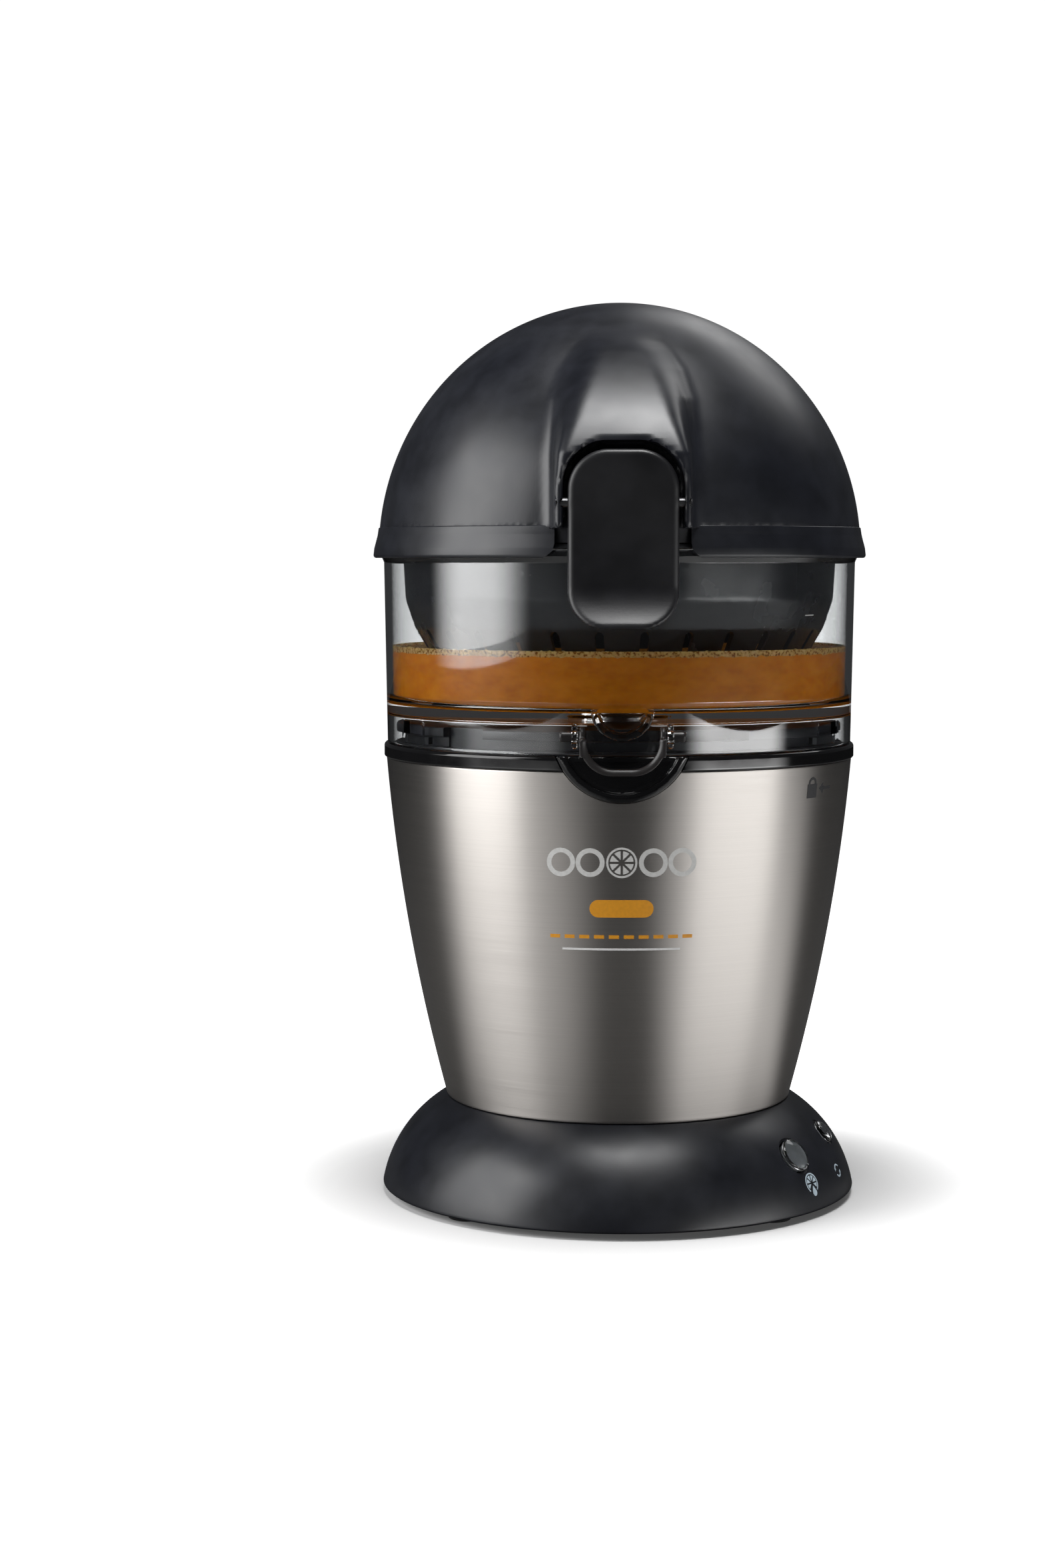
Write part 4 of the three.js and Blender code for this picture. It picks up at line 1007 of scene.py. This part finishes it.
def ribbed(radius, z, rib, turn):
    """The cone's radius at one turn: a smooth flank with ribs of some height on it."""
    phase = (turn + (z - CONE_FOOT + 1) * RIB_LEAN) * RIBS % 1
    distance = min(phase, 1 - phase) * TAU / RIBS * radius
    width = 1.3 + 1.6 * rib / RIB_HEIGHT
    return radius + rib * math.exp(-(distance / width) ** 2)


def make_reamer():
    """The cone: a skirt, then a flank whose ribs rise from the skirt and fade out at the tip."""
    low, high = node_mm("reamer_cone")
    tip = high[2] - 0.8
    flank = [(31, 192.6, 0), (31, 195.2, 0), (30.6, 195.6, 0), (27, 196.2, 0), (26, CONE_FOOT, 0.8)]
    for t in np.linspace(0.04, 1, 26):
        z = CONE_FOOT + t * (tip - CONE_FOOT)
        radius = np.interp(z, [CONE_FOOT, 212, 226, 236, tip], [26, 20.2, 12.4, 3.8, 1.2])
        rise = math.sin(math.pi * min(1, t * 1.6) / 2)
        flank.append((radius, z, RIB_HEIGHT * rise * (1 - t ** 5)))
    under = [(1, 222.4), (6.6, 222), (6.6, 195), (20, 194.6), (29, 194), (28.6, low[2]),
             (30.6, low[2])]
    around = 192
    rows = len(under) + len(flank)
    vertices, faces = [], []
    for k in range(around):
        turn = k / around
        ring = under + [(ribbed(radius, z, rib, turn), z) for radius, z, rib in flank]
        vertices += [(r * math.cos(turn * TAU), r * math.sin(turn * TAU), z) for r, z in ring]
        here, there = k * rows, (k + 1) % around * rows
        faces += [(here + j, there + j, there + j + 1, here + j + 1) for j in range(rows - 1)]
    faces.append(tuple(k * rows + rows - 1 for k in range(around)))
    faces.append(tuple(k * rows for k in reversed(range(around))))
    reamer = new_piece("ribbed_cone", vertices, faces, SMOKE, 50)
    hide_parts("reamer_cone")
    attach(reamer, "reamer")


# Radii of the cup's wall, and the heights of its rim and of the start of its crown
CUP = {"outer": 43.5, "inner": 41, "rim": 224.5, "shoulder": 236}


def make_press_cup():
    """The cup that holds the fruit down: a bowl, upside down, with a stem to the dome's crown."""
    def bowl(radius, apex, end, count):
        return [(radius * math.cos(t), CUP["shoulder"] + (apex - CUP["shoulder"]) * math.sin(t))
                for t in np.linspace(0, end, count)]
    inner = bowl(CUP["inner"], 282, math.pi / 2, 16)[::-1]
    cup = turned("fruit_cup", [
        (CUP["outer"], CUP["rim"], 0.8), *bowl(CUP["outer"], 284.5, 1.35, 14), (9, 308, 0.5),
        (6.35, 308, 0.3), (6.35, 289.7), (0, 289.7), (0, 282), *inner[1:],
        (CUP["inner"], CUP["rim"], 0.8)], SMOKE, 128)
    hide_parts("press_cup", "press_cup_crown")
    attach(cup, "lid")


# ---------------------------------------------------------------- lid and latches

DOME_A, DOME_C, DOME_Z = 86, 88.4, 229.9       # radius across, radius upwards, centre's height
LID_WALL = 2.5
RIM_TOP = 238.9
HOOD_TOP = node_mm("lid_hood_front")[1][2]
LATCH_LOW, LATCH_HIGH = node_mm("latch_front")
LATCH_PIN = {"y": 92.5, "z": 246.1}
BROW = 262              # height at which the hood's face starts to lean back
BROW_RISE = HOOD_TOP - BROW


def hood_field(x, y, z):
    """The bulge over a latch: a face that narrows upwards, between drafted sides."""
    face_half = np.interp(z, [250, BROW, 268, 280, 290, 299], [22.2, 21.2, 19.6, 16.2, 13, 10])
    root_half = np.interp(
        z, [250, BROW, 281, 291, 298, HOOD_TOP], [23, 22.9, 21.6, 18.2, 13.4, 10.5])
    climb = np.maximum(z - BROW, 0) / BROW_RISE
    depth = 95 - 18 * climb - 24 * climb * climb
    reach = np.clip((z - DOME_Z) / DOME_C, 0, 1)
    dome = np.sqrt(np.maximum(DOME_A ** 2 * (1 - reach ** 2) - 14 ** 2, 1))
    draft = np.clip((depth - np.abs(y)) / np.maximum(depth - dome, 2), 0, 1)
    side = (np.abs(x) - face_half - (root_half - face_half) * draft) * 0.85
    slope = np.sqrt(1 + ((18 + 48 * np.clip(climb, 0, 1)) / BROW_RISE) ** 2)
    face = (np.abs(y) - depth) / slope
    corner = np.interp(z, [252, 274], [1.4, 4.5])
    bulge = smooth_max(smooth_max(side, face, corner), z - HOOD_TOP, 5)
    return np.maximum(np.maximum(bulge, RIM_TOP - 1 - z), 30 - np.abs(y))


def dome_field(points):
    """The dome with a hood over each latch, an arch cut through each hood, and a boss inside."""
    x, y, z = split(points)
    r = np.hypot(x, y)
    shell = ellipsoid_field(points, DOME_A, DOME_C, DOME_Z)
    body = smooth_min(shell, hood_field(x, y, z), 4)
    arch = slab_field(x, z, 19.7, 200, 266.2, 0.1, 14.5)
    body = smooth_max(body, -smooth_max(arch, -shell - 0.4, 1.2), 1.3)
    body = np.maximum(body, RIM_TOP - 1.2 - z)
    boss = smooth_max(np.maximum(r - 6, 290 - z), shell + 1, 0.5)
    body = smooth_min(np.maximum(body, -(shell + LID_WALL)), boss, 0.8)
    pin = np.hypot(np.abs(y) - LATCH_PIN["y"], z - LATCH_PIN["z"]) - 1.6
    return np.maximum(body, -np.maximum(pin, np.abs(x) - 22.1))


def make_lid():
    """The dome, and the flared rim that the latches interrupt."""
    top = node_mm("lid_dome")[1][2]
    dome = moulded(
        "dome", dome_field, (-87.3, -96, RIM_TOP - 3), (87.6, 96, top + 1.4), 1.2, BLACK, 34)
    ring = turned("lid_rim", [
        (85.45, 228.1, 0.3), (88, 228.1, 1.0), (87.6, 231.5, 5), (86.4, 236, 5),
        (85.95, RIM_TOP, 0.5), (83.0, RIM_TOP), (82.6, 236, 0.3), (78.5, 236, 0.4),
        (78.5, 233.1, 0.4), (85.45, 233.1)], BLACK, 220)
    half = [(22.5, 245), (22.5, 233), (23.2, 230.4), (25.4, 228.6), (28, 227)]
    gap = [(-x, z) for x, z in half] + half[::-1]
    for side in (-1, 1):
        boolean(ring, gap_tool(gap, side))
    for piece in (dome, ring):
        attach(piece, "lid")
    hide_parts("lid_dome", "lid_hood_front", "lid_hood_rear")


def gap_tool(profile, side):
    """A solid with an outline in x and z, from the lid's skirt outwards at the front or back."""
    vertices = [(x, side * y, z) for y in (60, 110) for x, z in profile]
    core = revolve("core", [(0, 200), (84.6, 200), (84.6, 260), (0, 260)], BLACK, 220)
    return boolean(new_piece("tool", vertices, prism_faces(len(profile)), BLACK), core)


TOE = 13.9              # height of the latch's toe, which curls outwards by TOE_REACH
TOE_REACH = 7


def latch_field(points):
    """The front latch: a slightly crowned plate with a curled toe, a pin boss and a hook."""
    x, y, z = split(points)
    bend = np.clip((LATCH_LOW[2] + TOE - z) / TOE, 0, 1.2)
    front = 97 + TOE_REACH * bend ** 1.7
    thick = 4 - 1.2 * bend
    slope = np.sqrt(1 + (1.7 * TOE_REACH / TOE * bend ** 0.7) ** 2)
    dish = 0.5 * np.clip(1 - (x / 18) ** 2, 0, 1)
    plate = (np.abs(-y - front + thick / 2 - dish + 0.5) - thick / 2) / slope
    outline = slab_field(x, z, 18.15, LATCH_LOW[2], LATCH_HIGH[2], 12, 13.3)
    plate = smooth_max(plate, outline, 2.2)
    pin = np.hypot(y + LATCH_PIN["y"], z - LATCH_PIN["z"])
    boss = smooth_max(pin - 3.2, np.abs(x) - 17.4, 0.8)
    plate = smooth_min(plate, boss, 1.0)
    r = np.hypot(x, y)
    hook = np.maximum(np.abs(x) - 9, between(z, 221, 228.2))
    hook = smooth_max(smooth_max(hook, 85.4 - r, 0.5), -y - 94, 0.5)
    plate = smooth_min(plate, hook, 0.8)
    return np.maximum(plate, 1.9 - pin)


def make_latches():
    front = moulded(
        "front_clasp", latch_field, (-19.2, LATCH_LOW[1] - 1, LATCH_LOW[2] - 1),
        (19.3, LATCH_HIGH[1] + 1, LATCH_HIGH[2] + 1), 0.7, LATCH_BLACK, 38)
    rear = front.copy()
    rear.data = front.data.copy()
    rear.name = "rear_clasp"
    bpy.context.collection.objects.link(rear)
    rear.data.transform(Matrix.Scale(-1, 4, (0, 1, 0)))
    rear.data.flip_normals()
    for piece, side in ((front, "front"), (rear, "rear")):
        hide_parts(f"latch_{side}")
        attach(piece, f"{side}_latch")


# ---------------------------------------------------------------- printed marks

def bar(u, v, width, height):
    """A rectangle centred on (u, v)."""
    a, b = width / 2, height / 2
    return [(u - a, v - b), (u + a, v - b), (u + a, v + b), (u - a, v + b)]


def arc_band(u, v, inner, outer, start, end, count):
    """Short quads that make up a ring or part of one, angles in degrees."""
    angles = np.radians(np.linspace(start, end, count + 1))
    return [
        [(u + r * math.cos(t), v + r * math.sin(t))
         for r, t in ((inner, a), (outer, a), (outer, b), (inner, b))]
        for a, b in zip(angles[:-1], angles[1:])]


def pill(u, v, width, height):
    """A bar with round ends."""
    radius = height / 2
    ends = [(1, -90), (-1, 90)]
    return [
        (u + side * (width / 2 - radius) + radius * math.cos(math.radians(start + k * 12)),
         v + radius * math.sin(math.radians(start + k * 12)))
        for side, start in ends for k in range(16)]


INK_CELL = 2.0          # size of the cells that a patch of ink is cut into, to follow its surface
INK_HEIGHT = 0.07


def decal(name, polygons, material, surface, azimuth):
    """A thin closed patch of ink over a curved surface."""
    work = bmesh.new()
    for polygon in polygons:
        work.faces.new([work.verts.new((u, v, 0)) for u, v in polygon])
    bmesh.ops.remove_doubles(work, verts=work.verts, dist=1e-4)
    bmesh.ops.triangulate(work, faces=work.faces)
    spans = [[v.co[axis] for v in work.verts] for axis in (0, 1)]
    for axis, span in enumerate(spans):
        first, last = math.ceil(min(span) / INK_CELL), math.floor(max(span) / INK_CELL)
        for k in range(first, last + 1):
            place, normal = Vector((0, 0, 0)), Vector((0, 0, 0))
            place[axis], normal[axis] = k * INK_CELL + 0.013, 1
            geometry = work.verts[:] + work.edges[:] + work.faces[:]
            bmesh.ops.bisect_plane(work, geom=geometry, plane_co=place, plane_no=normal)
    bmesh.ops.recalc_face_normals(work, faces=work.faces)
    count = len(work.verts)
    work.verts.index_update()
    flat = [(v.co[0], v.co[1]) for v in work.verts]

    def facing_out(face):
        ring = [v.index for v in face.verts]
        return ring if face.normal.z > 0 else ring[::-1]

    loops = [facing_out(face) for face in work.faces]
    rims = []
    for edge in work.edges:
        if len(edge.link_faces) == 1:
            ring = facing_out(edge.link_faces[0])
            a, b = (v.index for v in edge.verts)
            rims.append((a, b) if ring[(ring.index(a) + 1) % len(ring)] == b else (b, a))
    work.free()
    vertices = [
        surface(azimuth, u, v, h) for h in (INK_HEIGHT, -INK_HEIGHT / 2) for u, v in flat]
    faces = loops + [[i + count for i in reversed(ring)] for ring in loops]
    faces += [(b, a, a + count, b + count) for a, b in rims]
    return new_piece(name, vertices, faces, material, 80)


def sleeve_surface(azimuth, u, v, height):
    """A point on the steel body, u along it and at height v above the table."""
    return wrapped(azimuth, u / steel_radius(v), steel_radius(v) + height, v)


def base_surface(azimuth, u, v, height):
    """A point on the base's moulding, u along it and v up the slope from 12 mm above the table."""
    r, z = BASE_CENTRE
    angle = math.asin((12 - z) / BASE_RADIUS) + v / BASE_RADIUS
    radius = r + (BASE_RADIUS + height) * math.cos(angle)
    return wrapped(azimuth, u / radius, radius, z + (BASE_RADIUS + height) * math.sin(angle))


def fruit_slice(u, v, radius, start=0, end=360):
    """A citrus slice: a rind and separate segments, from one angle to another in degrees."""
    segments = 8
    parts = arc_band(u, v, radius * 0.87, radius, start, end, 28)
    for k in range(segments):
        degrees = 360 * (k + 0.5) / segments
        if (degrees - start) % 360 > end - start:
            continue
        middle = math.radians(degrees)
        half = math.pi / segments
        inner, outer = radius * 0.2, radius * 0.76
        spread = half * 0.74
        parts.append([
            (u + inner * math.cos(middle), v + inner * math.sin(middle)),
            *[(u + outer * math.cos(middle + t), v + outer * math.sin(middle + t))
              for t in np.linspace(-spread, spread, 5)]])
    return parts


def make_marks():
    """Plain motifs in the places of the printed words: bars, a fruit slice and a pill."""
    wide = [-20.5, -10.6, 10.6, 20.5]
    motif = fruit_slice(0, 127, 5.2)
    for u in wide:
        motif += arc_band(u, 127, 3.3, 4.9, 0, 360, 24)
    marks = [
        ("fruit_row", motif, INK_GREY, sleeve_surface, 0),
        ("orange_pill", [pill(0, 111.3, 21.5, 6)], INK_ORANGE, sleeve_surface, 0),
        ("orange_dashes", [bar(-22.5 + 5 * k, 101.6, 3.4, 1.2) for k in range(10)], INK_ORANGE,
         sleeve_surface, 0),
        ("pale_line", [bar(0, 97.3, 40, 0.7)], INK_LIGHT, sleeve_surface, 0),
        ("padlock", [
            bar(0, 148.6, 5.8, 4.8), *arc_band(0, 151, 1.5, 2.4, 0, 180, 12),
            bar(9.6, 149.2, 6.4, 1), [(4.4, 149.2), (7.2, 147.2), (7.2, 151.2)]],
         INK_DARK, sleeve_surface, 52.5),
        ("start_icon", [*fruit_slice(0, 0, 3.6, -52, 232), [
            (0.1, -0.9), *[(0.3 + 1.25 * math.cos(a), -3.4 + 1.25 * math.sin(a))
                           for a in np.linspace(2.75, 6.68, 11)]]],
         INK_BLUE, base_surface, 54),
        ("return_icon", [
            *arc_band(0, 0, 1.9, 2.4, 35, 150, 10), *arc_band(0, 0, 1.9, 2.4, 215, 330, 10),
            [(-2.42, 1.4), (-2.41, 0.1), (-1.3, 0.75)], [(2.42, -1.4), (2.41, -0.1), (1.3, -0.75)]],
         INK_BLUE, base_surface, 70),
    ]
    for name, polygons, ink, surface, azimuth in marks:
        piece = decal(name, polygons, ink, surface, azimuth)
        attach(piece, "housing")


# ---------------------------------------------------------------- CAD pieces kept as they are

KEPT = {
    BLACK: ["bottom_plate", "start_switch", "return_switch", "motor_end_cap"],
    RUBBER: ["cord_inlet", "deck_seal"],
    BRIGHT: [
        "base_screw_1", "base_screw_2", "base_screw_3", "base_screw_4", "idler_axle", "motor_can",
        "lead_screw"],
    # the latch pins take the darkened steel, painted shade for their gap
    SHADED_PIN_STEEL: ["latch_pin_front", "latch_pin_rear"],
    BRASS: ["spindle_nut", "motor_pinion"],
    COPPER: ["motor_rotor"],
    NATURAL: ["gearbox_base", "gearbox_cover", "idler_gear", "main_gear"],
    BOARD: ["control_board"],
}


def finish_cad_pieces():
    """Gives each CAD piece that stays visible its material."""
    for material, names in KEPT.items():
        for name in names:
            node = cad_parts[name]
            node.data.materials.clear()
            node.data.materials.append(material)


# ---------------------------------------------------------------- scene

make_base()
make_feet()
make_buttons()
make_sleeve()
make_ring()
make_bezel()
make_deck()
make_jar()
make_juice()
make_chute()
make_basket()
make_reamer()
make_press_cup()
make_lid()
make_latches()
make_marks()
finish_cad_pieces()

make_floor()
make_world()
make_camera()
softbox("left", -70, 24, 1.1, (0.8, 0.8), 10, (0, 0, 0.15))
softbox("overhead", 12, 76, 0.95, (0.5, 0.46), 10, (0.03, 0, 0.25))
softbox("strip", -72, 0, 1.2, (1.4, 0.12), 1.6, (0, 0, 0.19), 0.4)
softbox("low_left", -52, 0, 0.9, (1.0, 0.09), 0.35, (0, 0, 0.05), 0.25)
softbox("low_right", 58, 0, 0.9, (1.0, 0.09), 1.9, (0, 0, 0.05), 0.25)
softbox("rim", 148, 40, 1.4, (1.0, 0.5), 3, (0, 0, 0.2))
scene = bpy.context.scene
scene.view_settings.view_transform = "Standard"
